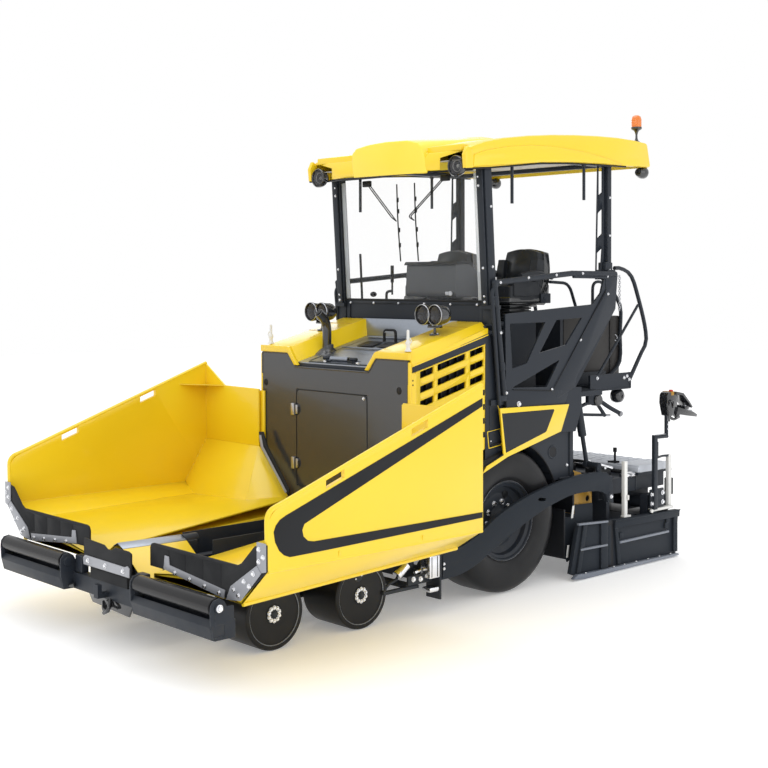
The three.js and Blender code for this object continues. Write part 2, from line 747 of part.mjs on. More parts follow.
// ---------- canopy ----------
const roofTail = [1739, 3528];
const roofCrest = [1195, 3545];
const canopyOutline = [[-480, 3200], [-412, 3199], [-190, 3220], [369, 3281], [1076, 3308],
  [1788, 3318], roofTail, roofCrest, [342, 3500], [-200, 3420], [-440, 3350],
  [-480, 3300]];
const canopyInside = [[-460, 3150], [1760, 3150], [1765, 3325], [1722, 3508], [1195, 3525],
  [345, 3480], [-192, 3401], [-425, 3333], [-460, 3290]];
const ribOutline = [[-230, ribZ + seat], [1290, ribZ + seat], [1290, 3530], [1195, 3535],
  [342, 3490], [-192, 3410], [-230, 3402]];
add('canopy', join(
  cut(
    prism('x', canopyOutline, -canopyHalf, canopyHalf),
    prism('x', canopyInside, -canopyHalf + canopySheet, canopyHalf - canopySheet),
  ),
  bothSides((side) => prism('x', ribOutline, side * (postX - postHalf),
    side * (postX + postHalf))),
), yellow);

const beaconPlace = [810, 1700];
const beaconRadius = 30;
const roofFall = (roofTail[1] - roofCrest[1]) / (roofTail[0] - roofCrest[0]);
const beaconFoot = roofCrest[1] + seat
  + (beaconPlace[1] - beaconRadius - roofCrest[0]) * roofFall;
add('beacon', join(
  rod('z', ...beaconPlace, beaconRadius, beaconFoot, beaconFoot + 110, 16),
  rod('z', ...beaconPlace, 48, beaconFoot + 100, beaconFoot + 190, 24),
  rod('z', ...beaconPlace, 40, beaconFoot + 180, beaconFoot + 240, 24),
), amber);

// ---------- front wall, windscreen and console ----------
const wallHalf = postX - postHalf - seat;
const wallFront = -150;
const wallTop = 2215;
add('front_wall', box(-wallHalf, wallHalf, wallFront, wallFront + 20, floorTop + seat,
  wallTop), dark);
const paneHalf = wallHalf - 15;
const paneTop = 3190;
add('windscreen', hull([-paneHalf, paneHalf].flatMap((x) => [
  [x, wallFront, wallTop + seat], [x, wallFront + 6, wallTop + seat],
  [x, postHead[0] - 8, paneTop], [x, postHead[0] - 2, paneTop]])), glass);
add('console', join(
  box(-150, 420, -100, 200, 2245, 2520),
  box(80, 200, -60, 60, floorTop + seat, 2260),
), dark);

// ---------- steps and handrails at the rear corners ----------
const stepFront = platformRear + seat;
addPair('rear_steps', join(
  box(480, 760, stepFront, 1690, 1458, 1480),
  box(740, 760, stepFront, 1690, 1458, 1590),
  box(480, 500, stepFront, 1690, 1458, 1590),
  pipe([[750, 1480, 2475], [750, 1560, 2474], [750, 1700, 2420], [750, 1800, 2250],
    [750, 1926, 1848], [750, 1850, 1740], [750, 1670, 1500]], 17, 20),
  bar([750, 1240, 1560], [750, 1808, 2160], 12),
  pipe([[490, 1640, 2400], [490, 1760, 2300], [490, 1900, 2150], [490, 1900, 1900],
    [490, 1890, 1650], [490, 1670, 1500]], 17, 16),
), dark);

// ---------- exhaust and work lamps ----------
const exhaustX = -395;
const exhaustY = -706;
const exhaustZ = hoodZ(exhaustY) - wellDepth + 11;
add('exhaust_pipe', join(
  pipe([[exhaustX, exhaustY, exhaustZ], [exhaustX, exhaustY, exhaustZ + 150],
    [exhaustX, exhaustY - 30, exhaustZ + 230], [exhaustX, exhaustY - 90, exhaustZ + 290]],
  36, 10, 12),
), dark);
const lampY = -550;
const lampZ = hoodZ(lampY) + 170;
addPair('work_lamp', join(
  rod('z', 0, 0, 14, hoodZ(lampY + 14) + 0.5 - lampZ, -60, 12),
  hull([[-90, -60, -70], [90, -60, -70], [-90, 60, -70], [90, 60, -70],
    [-120, -80, 0], [120, -80, 0], [-120, 70, 0], [120, 70, 0],
    [-80, -60, 75], [80, -60, 75], [-80, 60, 75], [80, 60, 75]]),
), dark, [650, lampY, lampZ]);

// ---------- screed, arms and gates ----------
const armOutline = [
  [towY, towZ + 70], [-777, 443], [-568, 443], [-395, 517], [-219, 615], [-38, 677],
  [195, 751], [459, 793], [733, 833], [1110, 814], [1177, 707], [1191, 560],
  [1120, 570], [1096, 640], [1017, 675], [683, 688], [533, 657], [338, 616], [101, 528],
  [-129, 435], [-263, 385], [-395, 306], [-568, 249], [-777, 242], [towY, towZ - 70],
];
const bracketFront = 1150;
const armEye = rod('x', towY, towZ, towPin + pinPlay, armX - 20, armX + armSheet + 20);
addPair('tow_arm', cut(join(
  prism('x', armOutline, armX, armX + armSheet),
  rod('x', towY, towZ, 70, armX, armX + armSheet),
  box(screedHalf + seat, armX + 5, bracketFront, 1190, 580, 700),
  box(armX, armX + 20, liftEye[0] - 25, liftEye[0] + 25, 780, liftEye[1]),
  rod('x', ...liftEye, 25, liftX + 24, armX + 20),
), armEye), dark);

const guideRadius = 45;
const guideZ = 480;
const guideY = { 1: 1760, '-1': 1930 };
const frameBottom = 600;
const frameTop = 725;
const frameFront = 1180;
const collarX = [-700, -300, 300, 700];
const guideHoles = [1, -1].map((side) => rod('x', guideY[side], guideZ,
  guideRadius + pinPlay, -900, 900));
const walkwayZ = 745;
add('screed_body', cut(join(
  box(-screedHalf, screedHalf, screedFront, screedFront + screedDepth, 0, plateTop),
  box(-screedHalf, screedHalf, screedFront, screedFront + 40, plateTop - 1, frameTop),
  box(-screedHalf, screedHalf, screedFront, 2045, frameBottom, frameTop),
  bothSides((side) => box(side * (screedHalf - 30), side * screedHalf, bracketFront, screedFront + 5,
    frameBottom - 30, frameTop)),
  ...collarX.map((x) => box(x - 20, x + 20, 1690, 2000, gateTop + running, frameBottom + 5)),
  box(-880, 880, 1640, 2120, frameTop - 1, walkwayZ),
), ...guideHoles), dark);

const extensionInner = 10;
for (const [label, side] of [['left', 1], ['right', -1]]) {
  const shape = join(
    box(side * extensionInner, side * screedHalf, extensionFront, extensionRear, 0, plateTop),
    box(side * (screedHalf - 20 + 24), side * (gateX - seat), 1700, 2000, 200, 560),
    box(side * (screedHalf - 40), side * (screedHalf + 10), 1700, 2000, 200, plateTop),
    rod('x', guideY[side], guideZ, guideRadius, -side * 800, side * (screedHalf + 20)),
  );
  add(`screed_extension_${label}`, shape, dark);
}

const gateOutline = [[647, 56], [786, 0], [2040, 0], [2059, 40], [2094, 397], [1205, 422],
  [1098, 427], [747, 447]];
const gateOuter = gateX + gateSheet;
const standX = 990;
addPair('end_gate', join(
  prism('x', gateOutline, gateX, gateOuter),
  box(gateX - 60, gateX + 5, 700, 2040, 0, 20),
  rod('z', gateX + 15, 1367, 15, 380, 881, 12),
  rod('z', gateX + 15, 1981, 15, 380, 883, 12),
  box(gateX + 10, standX + 15, 1700, 1770, 350, 372),
  bar([standX, 1735, 355], [standX, 1735, 1060], 15),
  bar([standX, 1735, 1050], [standX, 1900, 1050], 12),
  bar([standX, 1893, 1040], [standX, 1893, 1270], 12),
  prism('x', [[1790, 1328], [1819, 1430], [2099, 1413], [handsetRear, 1252], [2060, 1240],
    [1850, 1240]], standX - 90, standX + 90),
), dark);

// ---------- augers ----------
const augerInner = 52;
const augerOuter = 850;
const shaftRadius = 40;
const flightTurns = 2.5;
const flightThickness = 14;
// A screw flight: a flat ring's section carried round and along the X axis.
function flight(hand) {
  const steps = Math.round(flightTurns * 16);
  const run = augerOuter - augerInner - 40;
  const positions = [];
  const index = [];
  for (let i = 0; i <= steps; i += 1) {
    const angle = hand * (i / steps) * flightTurns * 2 * Math.PI;
    const x = augerInner + 20 + (i / steps) * (run - flightThickness);
    for (const [radius, shift] of [[shaftRadius - 5, 0], [augerRadius, 0],
      [augerRadius, flightThickness], [shaftRadius - 5, flightThickness]]) {
      positions.push(x + shift, radius * Math.cos(angle), radius * Math.sin(angle));
    }
  }
  const quad = (a, b, c, d) => index.push(a, b, c, a, c, d);
  for (let i = 0; i < steps; i += 1) {
    for (let k = 0; k < 4; k += 1) {
      const near = 4 * i + k;
      const next = 4 * i + (k + 1) % 4;
      quad(near, next, next + 4, near + 4);
    }
  }
  quad(3, 2, 1, 0);
  const last = 4 * steps;
  quad(last, last + 1, last + 2, last + 3);
  if (hand > 0) {
    for (let i = 0; i < index.length; i += 3) {
      [index[i], index[i + 1]] = [index[i + 1], index[i]];
    }
  }
  const geometry = new THREE.BufferGeometry();
  geometry.setAttribute('position', new THREE.Float32BufferAttribute(positions, 3));
  geometry.setIndex(index);
  return solid(geometry);
}
addPair('auger', join(
  rod('x', 0, 0, shaftRadius, augerInner, augerOuter, 20),
  flight(1),
), steel, [0, augerY, augerZ]);

add('auger_frame', join(
  box(-platformHalf, platformHalf, chassisRear + seat, chassisRear + 20, railTop + 10, 840),
  box(-40, 40, chassisRear + seat, augerY + 40, railBottom, railTop - 30),
  box(-40, 40, chassisRear + seat, chassisRear + 20, railBottom, 600),
  rod('x', augerY, augerZ, shaftRadius, -augerInner + seat, augerInner - seat),
  bothSides((side) => join(
    box(side * 580, side * 600, 655, chassisRear + 10, 520, 560),
    box(side * 560, side * 905, 640, 655, 180, 560),
  )),
), ochre);

// ---------- lift cylinders ----------
const liftLean = Math.atan2(liftEye[0] - liftTop[0], liftTop[1] - liftEye[1]);
function alongLift(distance) {
  return [liftX, liftTop[0] + distance * Math.sin(liftLean),
    liftTop[1] - distance * Math.cos(liftLean)];
}
const liftLength = Math.hypot(liftEye[0] - liftTop[0], liftTop[1] - liftEye[1]);
const barrelLength = 320;
const rodInside = 250;
addPair('lift_cylinder', cut(join(
  bar(alongLift(0), alongLift(barrelLength), 34, 20),
  box(liftX - 20, liftX + 20, bodyRear + seat, liftTop[0] + 10, 1385, 1425),
), bar(alongLift(30), alongLift(barrelLength + 20), 18 + pinPlay, 16)), dark);
addPair('lift_rod', join(
  bar(alongLift(rodInside), alongLift(liftLength), 18, 16),
  rod('x', liftEye[0], liftEye[1], 32, liftX - 18, liftX + 18),
), steel);

export default paver;
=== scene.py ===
import bpy
import json
import math
from mathutils import Matrix, Vector

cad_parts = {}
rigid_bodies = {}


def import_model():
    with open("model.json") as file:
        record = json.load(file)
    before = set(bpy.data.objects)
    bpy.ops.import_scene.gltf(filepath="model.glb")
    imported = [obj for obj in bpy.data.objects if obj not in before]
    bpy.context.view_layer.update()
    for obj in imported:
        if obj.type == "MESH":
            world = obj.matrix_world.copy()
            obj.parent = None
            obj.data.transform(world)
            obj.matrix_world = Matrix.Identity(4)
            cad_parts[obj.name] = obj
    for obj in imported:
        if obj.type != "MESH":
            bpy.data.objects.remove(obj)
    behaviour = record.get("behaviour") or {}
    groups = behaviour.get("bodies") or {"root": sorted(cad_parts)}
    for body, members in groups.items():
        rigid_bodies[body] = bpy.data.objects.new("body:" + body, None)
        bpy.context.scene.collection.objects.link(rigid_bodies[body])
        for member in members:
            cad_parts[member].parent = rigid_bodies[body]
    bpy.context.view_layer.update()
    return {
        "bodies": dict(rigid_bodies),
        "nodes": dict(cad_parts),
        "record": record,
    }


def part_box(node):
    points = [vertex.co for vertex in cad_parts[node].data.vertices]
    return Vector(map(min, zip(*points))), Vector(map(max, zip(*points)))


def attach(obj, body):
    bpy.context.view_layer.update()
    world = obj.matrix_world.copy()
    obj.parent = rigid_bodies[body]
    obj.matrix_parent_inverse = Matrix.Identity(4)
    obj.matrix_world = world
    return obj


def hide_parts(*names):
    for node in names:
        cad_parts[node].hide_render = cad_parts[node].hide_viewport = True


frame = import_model()
print("frame loaded:", len(frame["nodes"]), "nodes")

wheelLow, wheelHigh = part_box("rear_wheel_left")
axleY = (wheelLow.y + wheelHigh.y) / 2  # places below are given from the rear axle


def place(x, y, z):
    return Vector((x, y + axleY, z))


# camera
cameraSetup = {
    "spot": (7.578, -7.408, 2.401), "yaw": 47.4205, "pitch": 1.4685, "roll": -0.1634,
    "lens": 61.6566, "shift": (-0.00129, -0.09469),
}


def aimCamera(setup):
    yaw, pitch, roll = (math.radians(setup[key]) for key in ("yaw", "pitch", "roll"))
    ahead = Vector((-math.sin(yaw) * math.cos(pitch), math.cos(yaw) * math.cos(pitch),
        -math.sin(pitch)))
    right = Vector((math.cos(yaw), math.sin(yaw), 0))
    up = right.cross(ahead)
    tilted = right * math.cos(roll) + up * math.sin(roll)
    upright = up * math.cos(roll) - right * math.sin(roll)
    turn = Matrix((tilted, upright, -ahead)).transposed().to_4x4()
    bpy.ops.object.camera_add()
    camera = bpy.context.active_object
    camera.name = "photo_camera"
    camera.matrix_world = Matrix.Translation(place(*setup["spot"])) @ turn
    camera.data.lens = setup["lens"]
    camera.data.sensor_width = 36
    camera.data.shift_x, camera.data.shift_y = setup["shift"]
    camera.data.clip_end = 200
    bpy.context.scene.camera = camera


aimCamera(cameraSetup)


# shader wiring
class Wire:
    # one shader socket; arithmetic on it adds Math nodes
    def __init__(self, finish, socket):
        self.finish = finish
        self.socket = socket

    def worked(self, operation, first, second):
        return self.finish.node("ShaderNodeMath", {0: first, 1: second},
            operation=operation)

    def __add__(self, other):
        return self.worked("ADD", self, other)

    def __rsub__(self, other):
        return self.worked("SUBTRACT", other, self)

    def __mul__(self, other):
        return self.worked("MULTIPLY", self, other)

    def __truediv__(self, other):
        return self.worked("DIVIDE", self, other)


class Finish:
    # a material with a Principled shader; fixed values go straight on its sockets
    def __init__(self, name, base, roughness=0.5, metallic=0.0, **fixed):
        self.material = bpy.data.materials.new(name)
        self.material.use_nodes = True
        self.tree = self.material.node_tree
        self.shader = self.tree.nodes["Principled BSDF"]
        self.shader.inputs["Base Color"].default_value = (*base, 1)
        self.shader.inputs["Roughness"].default_value = roughness
        self.shader.inputs["Metallic"].default_value = metallic
        for key, value in fixed.items():
            self.shader.inputs[key.replace("_", " ")].default_value = value

    def node(self, kind, sockets=None, output=0, stops=None, **settings):
        made = self.tree.nodes.new(kind)
        for key, value in settings.items():
            setattr(made, key, value)
        if stops:
            ramp = made.color_ramp.elements
            for spot, shade in stops[2:]:
                ramp.new(spot)
            for element, (spot, shade) in zip(ramp, stops):
                element.position = spot
                element.color = (shade, shade, shade, 1)
        for key, value in (sockets or {}).items():
            if isinstance(value, Wire):
                self.tree.links.new(value.socket, made.inputs[key])
            else:
                made.inputs[key].default_value = value
        return Wire(self, made.outputs[output])

    def feed(self, socketName, wire):
        self.tree.links.new(wire.socket, self.shader.inputs[socketName])

    def spot(self):
        return self.node("ShaderNodeTexCoord", output="Object")

    def noise(self, scale, detail=3.0, stretch=(1, 1, 1)):
        spread = self.node("ShaderNodeMapping", {"Vector": self.spot(), "Scale": stretch})
        return self.node("ShaderNodeTexNoise", {"Vector": spread, "Scale": scale,
            "Detail": detail})

    def ramp(self, wire, stops):
        return self.node("ShaderNodeValToRGB", {"Fac": wire}, stops=stops)

    def blend(self, factor, first, second, how="MIX"):
        first, second = ((*c, 1) if isinstance(c, tuple) and len(c) == 3 else c
            for c in (first, second))
        return self.node("ShaderNodeMix", {0: factor, 6: first, 7: second}, output=2,
            data_type="RGBA", blend_type=how)

    def height(self):
        return self.node("ShaderNodeSeparateXYZ", {0: self.spot()}, output=2)

    def softEdges(self, radius=0.004):
        self.rounded = self.node("ShaderNodeBevel", {"Radius": radius}, samples=4)
        return self.rounded

    def edgeWear(self):
        # 0 on a flat face, towards 1 where the rounded edge turns away from it
        flat = self.node("ShaderNodeNewGeometry", output="Normal")
        match = self.node("ShaderNodeVectorMath", {0: self.rounded, 1: flat},
            output="Value", operation="DOT_PRODUCT")
        return self.ramp(1 - match, [(0.005, 0.0), (0.12, 1.0)])

    def bumpy(self, height, strength, distance=0.001):
        sockets = {"Height": height, "Strength": strength, "Distance": distance}
        if hasattr(self, "rounded"):
            sockets["Normal"] = self.rounded
        self.feed("Normal", self.node("ShaderNodeBump", sockets))


def paintFinish(name, base, shade, worn, roughness, coat=0.0, speckle=0.06, edge=0.5,
        dusty=0.0, grain=900, specular=0.5):
    finish = Finish(name, base, roughness, 0.0, Coat_Weight=coat, Coat_Roughness=0.08,
        Specular_IOR_Level=specular)
    finish.softEdges()
    clouds = finish.ramp(finish.noise(1.3, 2.0), [(0.35, 0.0), (0.65, 1.0)])
    colour = finish.blend(clouds, base, shade)
    if dusty:
        low = finish.ramp(finish.height() / 1.2, [(0.0, 1.0), (0.9, 0.0)])
        dirt = finish.ramp(finish.noise(9.0, 6.0), [(0.42, 0.0), (0.75, 1.0)])
        colour = finish.blend(low * dirt * dusty, colour, (0.3, 0.27, 0.22))
    scuffs = finish.ramp(finish.noise(55.0, 4.0), [(0.45, 0.0), (0.62, 1.0)])
    colour = finish.blend(finish.edgeWear() * scuffs * edge, colour, worn)
    finish.feed("Base Color", colour)
    fine = finish.noise(grain, 2.0)
    finish.feed("Roughness", fine * speckle + (roughness - speckle / 2))
    finish.bumpy(fine, 0.08, 0.0004)
    return finish.material


def rubberFinish(name, base, dust, roughness):
    finish = Finish(name, base, roughness, Specular_IOR_Level=0.22)
    finish.softEdges(0.005)
    patches = finish.ramp(finish.noise(7.0, 5.0), [(0.4, 0.0), (0.75, 1.0)])
    finish.feed("Base Color", finish.blend(patches * 0.45, base, dust))
    fine = finish.noise(420.0, 3.0)
    finish.feed("Roughness", fine * 0.15 + (roughness - 0.07))
    finish.bumpy(fine, 0.18, 0.0006)
    return finish.material


def metalFinish(name, base, roughness, stretch=(1, 1, 40), streaks=0.25):
    finish = Finish(name, base, roughness, 1.0)
    finish.softEdges(0.002)
    lines = finish.noise(60.0, 3.0, stretch)
    finish.feed("Base Color", finish.blend(lines * streaks, base,
        tuple(c * 0.55 for c in base)))
    finish.feed("Roughness", lines * 0.2 + (roughness - 0.1))
    finish.bumpy(lines, 0.05, 0.0003)
    return finish.material


def clearFinish(name, base, alpha, roughness=0.03):
    finish = Finish(name, base, roughness, 0.0, Specular_IOR_Level=0.5)
    smears = finish.ramp(finish.noise(2.2, 2.0), [(0.3, 0.8), (0.7, 1.2)])
    finish.feed("Alpha", smears * alpha)
    finish.feed("Roughness", finish.noise(25.0) * 0.05 + roughness)
    return finish.material


def lensFinish(name, base, roughness=0.12):
    finish = Finish(name, base, roughness, 0.0, Coat_Weight=0.6)
    ribs = finish.noise(240.0, 1.0, (1, 1, 0.05))
    finish.feed("Base Color", finish.blend(ribs * 0.6, base, tuple(c * 0.55 for c in base)))
    finish.bumpy(ribs, 0.2, 0.0006)
    return finish.material


finishes = {
    "yellowPaint": paintFinish("yellow_gloss_paint", (0.9, 0.64, 0.014),
        (0.88, 0.615, 0.012), (0.95, 0.78, 0.22), 0.3, coat=0.35, dusty=0.1, edge=0.35),
    "paleYellow": paintFinish("pale_yellow_roof_paint", (0.95, 0.74, 0.06),
        (0.92, 0.7, 0.035), (0.95, 0.82, 0.35), 0.32, coat=0.3, edge=0.3),
    "darkPaint": paintFinish("anthracite_paint", (0.016, 0.021, 0.03), (0.02, 0.025, 0.034),
        (0.13, 0.14, 0.15), 0.46, coat=0.0, speckle=0.12, dusty=0.06, edge=0.7, grain=650,
        specular=0.28),
    # black paint; also used as painted shade: the rear tyre's shadow on auger_frame, the
    # shadow line along the frame fold, and the dark insides of holes and grille openings
    "blackPaintAndShade": paintFinish("black_stripe_paint_and_shade", (0.008, 0.009, 0.011),
        (0.014, 0.015, 0.018), (0.05, 0.05, 0.05), 0.4, coat=0.0, speckle=0.05, edge=0.1,
        specular=0.22),
    "panelPaint": paintFinish("glossy_anthracite_paint", (0.03, 0.032, 0.037),
        (0.034, 0.036, 0.041), (0.12, 0.12, 0.13), 0.24, coat=0.25, speckle=0.05, edge=0.4,
        grain=650, specular=0.6),
    "glossBlack": paintFinish("gloss_black_shell", (0.016, 0.018, 0.021),
        (0.016, 0.017, 0.019), (0.05, 0.05, 0.05), 0.14, coat=0.6, speckle=0.04, edge=0.1,
        specular=0.6),
    "beigePaint": paintFinish("beige_ceiling_paint", (0.46, 0.43, 0.37), (0.42, 0.39, 0.33),
        (0.6, 0.58, 0.52), 0.5, edge=0.2),
    "greyPlastic": paintFinish("grey_console_plastic", (0.036, 0.04, 0.047),
        (0.05, 0.055, 0.064), (0.16, 0.17, 0.18), 0.42, edge=0.4, grain=500),
    "vinyl": rubberFinish("black_vinyl", (0.022, 0.025, 0.03), (0.026, 0.029, 0.034), 0.34),
    "rollerBlack": paintFinish("polished_black_paint", (0.006, 0.006, 0.007),
        (0.009, 0.009, 0.01), (0.2, 0.2, 0.2), 0.26, edge=0.2, specular=0.3),
    "stripeGrey": paintFinish("charcoal_panel", (0.016, 0.018, 0.022), (0.02, 0.022, 0.026),
        (0.06, 0.06, 0.06), 0.34, edge=0.1, specular=0.25),
    # painted shade: near-black with a warm tint, where the warm tint is painted reflection
    # of the yellow body
    "shadedBrownBlack": paintFinish("brown_black_painted_shade", (0.03, 0.028, 0.027),
        (0.036, 0.034, 0.032), (0.12, 0.12, 0.12), 0.42, edge=0.4, specular=0.25),
    "armPaint": paintFinish("blue_anthracite_paint", (0.021, 0.026, 0.034),
        (0.025, 0.03, 0.038), (0.16, 0.18, 0.2), 0.5, edge=0.6, speckle=0.1, grain=650,
        specular=0.1),
    "treadGrey": paintFinish("pale_tread_paint", (0.55, 0.58, 0.64), (0.6, 0.63, 0.68),
        (0.7, 0.7, 0.72), 0.45, edge=0.4),
    "ledgeGrey": paintFinish("worn_grey_edge_paint", (0.14, 0.16, 0.2), (0.2, 0.22, 0.26),
        (0.5, 0.52, 0.56), 0.42, edge=0.7),
    "greyPaint": paintFinish("grey_strip_paint", (0.3, 0.31, 0.34), (0.36, 0.37, 0.4),
        (0.6, 0.6, 0.6), 0.42, coat=0.0, speckle=0.1, edge=0.6),
    "ochrePaint": paintFinish("ochre_paint", (0.45, 0.25, 0.02), (0.38, 0.2, 0.015),
        (0.55, 0.4, 0.12), 0.48, coat=0.0, dusty=0.4, edge=0.4),
    "rubber": rubberFinish("black_rubber", (0.016, 0.017, 0.019), (0.03, 0.031, 0.033),
        0.62),
    "tyre": rubberFinish("tyre_rubber", (0.01, 0.0105, 0.012), (0.02, 0.02, 0.021), 0.34),
    # brushed steel; also gives the rear rim's lip ring its painted highlight
    "steel": metalFinish("brushed_steel_and_highlight", (0.5, 0.51, 0.54), 0.34),
    "greyMetal": metalFinish("grey_sheet_metal", (0.34, 0.37, 0.42), 0.36, (1, 1, 1), 0.2),
    "bright": metalFinish("bright_zinc", (0.82, 0.83, 0.86), 0.22, (1, 1, 1), 0.12),
    "glass": clearFinish("windscreen_glass", (0.85, 0.88, 0.9), 0.022),
    "frosted": clearFinish("frosted_edge_glass", (0.62, 0.66, 0.7), 0.5, 0.3),
    "lamp": clearFinish("lamp_glass", (0.03, 0.03, 0.035), 0.55, 0.04),
    "amber": lensFinish("amber_lens", (0.85, 0.22, 0.02)),
    "red": lensFinish("red_button", (0.6, 0.02, 0.012), 0.3),
    "white": paintFinish("white_plastic", (0.8, 0.8, 0.78), (0.72, 0.72, 0.7),
        (0.9, 0.9, 0.9), 0.35, edge=0.2),
}
finishOfSlot = {
    "yellow_paint": "yellowPaint", "dark_paint": "darkPaint", "black_rubber": "rubber",
    "tyre_rubber": "tyre", "bare_steel": "steel", "ochre_paint": "ochrePaint",
    "clear_glass": "glass", "amber_lens": "amber",
}
# auger_frame gets black as painted shadow: the rear tyre's shadow painted over the frame
ownFinish = {
    "auger_frame": "blackPaintAndShade", "lift_rod_left": "darkPaint",
    "lift_rod_right": "darkPaint", "front_panel": "panelPaint", "access_door": "panelPaint",
    "hood_lid": "greyMetal",
}
for part in frame["record"]["subparts"]:
    node = frame["nodes"][part["node"]]
    finish = ownFinish.get(part["node"], finishOfSlot[part["material_slot"]])
    node.data.materials.clear()
    node.data.materials.append(finishes[finish])
print("finishes made:", len(finishes))

# floor, light and air
studio = {
    "floor": 60.0, "air": 1.0,
    "key": {"spot": (5.5, -9.0, 7.5), "aim": (0, -0.3, 1.2), "size": 5.0, "power": 100},
    "side": {"spot": (9.0, 2.0, 4.0), "aim": (0, 0.3, 1.0), "size": 5.0, "power": 70},
    "top": {"spot": (-1.0, 0.0, 9.5), "aim": (0, 0, 1.0), "size": 6.0, "power": 190},
    "back": {"spot": (-7.0, 5.0, 5.0), "aim": (0, 0, 1.2), "size": 4.0, "power": 60},
}


def addLight(label, setup):
    spot, aim = place(*setup["spot"]), place(*setup["aim"])
    bpy.ops.object.light_add(type="AREA", location=spot)
    lamp = bpy.context.active_object
    lamp.name = label + "_light"
    lamp.rotation_euler = (aim - spot).to_track_quat("-Z", "Y").to_euler()
    lamp.data.energy = setup["power"]
    lamp.data.size = setup["size"]


def layFloor():
    bpy.ops.mesh.primitive_plane_add(size=studio["floor"], location=(0, 0, -0.001))
    floor = bpy.context.active_object
    floor.name = "studio_floor"
    finish = Finish("pale_floor", (0.93, 0.93, 0.93), 0.7, Emission_Color=(1, 1, 1, 1),
        Emission_Strength=0.22)
    finish.feed("Roughness", finish.noise(3.0) * 0.1 + 0.65)
    floor.data.materials.append(finish.material)


layFloor()
for label in ("key", "side", "top", "back"):
    addLight(label, studio[label])
world = bpy.data.worlds.new("studio_air")
world.use_nodes = True
world.node_tree.nodes["Background"].inputs["Color"].default_value = (1, 1, 1, 1)
world.node_tree.nodes["Background"].inputs["Strength"].default_value = studio["air"]
bpy.context.scene.world = world
bpy.context.scene.view_settings.view_transform = "Standard"
print("studio set")


# modelling steps
def letGo():
    if bpy.context.object and bpy.context.object.mode != "OBJECT":
        bpy.ops.object.mode_set(mode="OBJECT")
    bpy.ops.object.select_all(action="DESELECT")


def pick(*pieces):
    letGo()
    for piece in pieces:
        piece.select_set(True)
    bpy.context.view_layer.objects.active = pieces[0]


def settle(piece, name=None):
    pick(piece)
    bpy.ops.object.transform_apply(location=True, rotation=True, scale=True)
    if name:
        piece.name = name
    return piece


def drawChain(points):
    # one vertex, extruded from point to point; leaves edit mode on
    letGo()
    bpy.ops.mesh.primitive_plane_add(size=0.01, location=points[0])
    bpy.ops.object.mode_set(mode="EDIT")
    bpy.ops.mesh.select_all(action="SELECT")
    bpy.ops.mesh.merge(type="CENTER")
    for before, after in zip(points, points[1:]):
        bpy.ops.mesh.extrude_vertices_move(TRANSFORM_OT_translate={"value": after - before})
    bpy.ops.mesh.select_all(action="SELECT")
    return bpy.context.active_object


def closeUp():
    bpy.ops.mesh.select_all(action="SELECT")
    bpy.ops.mesh.remove_doubles(threshold=0.0001)
    bpy.ops.mesh.normals_make_consistent(inside=False)
    bpy.ops.object.mode_set(mode="OBJECT")


def soften(piece, width=0.003, segments=2, angle=32, smooth=40):
    pick(piece)
    if width:
        edge = piece.modifiers.new("soft_edges", "BEVEL")
        edge.width = width
        edge.segments = segments
        edge.limit_method = "ANGLE"
        edge.angle_limit = math.radians(angle)
        bpy.ops.object.modifier_apply(modifier=edge.name)
    bpy.ops.object.shade_smooth_by_angle(angle=math.radians(smooth))
    return piece


def slab(points, depth, soft=0.003, segments=2):
    # a drawn outline, filled and extruded
    piece = drawChain([place(*point) for point in points])
    bpy.ops.mesh.edge_face_add()
    bpy.ops.mesh.extrude_region_move(TRANSFORM_OT_translate={"value": depth})
    closeUp()
    return soften(settle(piece), soft, segments)


def sideSlab(outline, x, depth, soft=0.003):
    # outline of (y, z) points on a plane across X
    return slab([(x, y, z) for y, z in outline], (depth, 0, 0), soft)


def frontSlab(outline, y, depth, soft=0.003):
    return slab([(x, y, z) for x, z in outline], (0, depth, 0), soft)


def block(low, high, soft=0.004, segments=2):
    low, high = place(*low), place(*high)
    letGo()
    bpy.ops.mesh.primitive_cube_add(size=1, location=(low + high) / 2)
    piece = bpy.context.active_object
    piece.scale = [abs(a - b) for a, b in zip(high, low)]
    return soften(settle(piece), soft, segments)


def rod(start, end, radius, corners=24, soft=0.002, tip=None):
    start, end = place(*start), place(*end)
    letGo()
    if tip is None:
        bpy.ops.mesh.primitive_cylinder_add(vertices=corners, radius=radius,
            depth=(end - start).length, location=(start + end) / 2)
    else:
        bpy.ops.mesh.primitive_cone_add(vertices=corners, radius1=radius, radius2=tip,
            depth=(end - start).length, location=(start + end) / 2)
    piece = bpy.context.active_object
    piece.rotation_euler = (end - start).to_track_quat("Z", "Y").to_euler()
    return soften(settle(piece), min(soft, radius / 4), 2)


def ball(centre, radius, squashed=(1, 1, 1), rings=12):
    letGo()
    bpy.ops.mesh.primitive_uv_sphere_add(segments=2 * rings, ring_count=rings,
        radius=radius, location=place(*centre))
    piece = bpy.context.active_object
    piece.scale = squashed
    return soften(settle(piece), 0, smooth=80)


def spun(profile, centre, axis="x", steps=64, smooth=35):
    # profile of (radius, along) points, spun round an axis through the centre
    middle = place(*centre)
    along = {"x": Vector((1, 0, 0)), "y": Vector((0, 1, 0)), "z": Vector((0, 0, 1))}[axis]
    out = Vector((0, 0, 1)) if axis != "z" else Vector((1, 0, 0))
    piece = drawChain([middle + out * radius + along * shift for radius, shift in profile])
    bpy.ops.mesh.spin(steps=steps, angle=2 * math.pi, center=middle, axis=along)
    closeUp()
    return soften(settle(piece), 0, smooth=smooth)


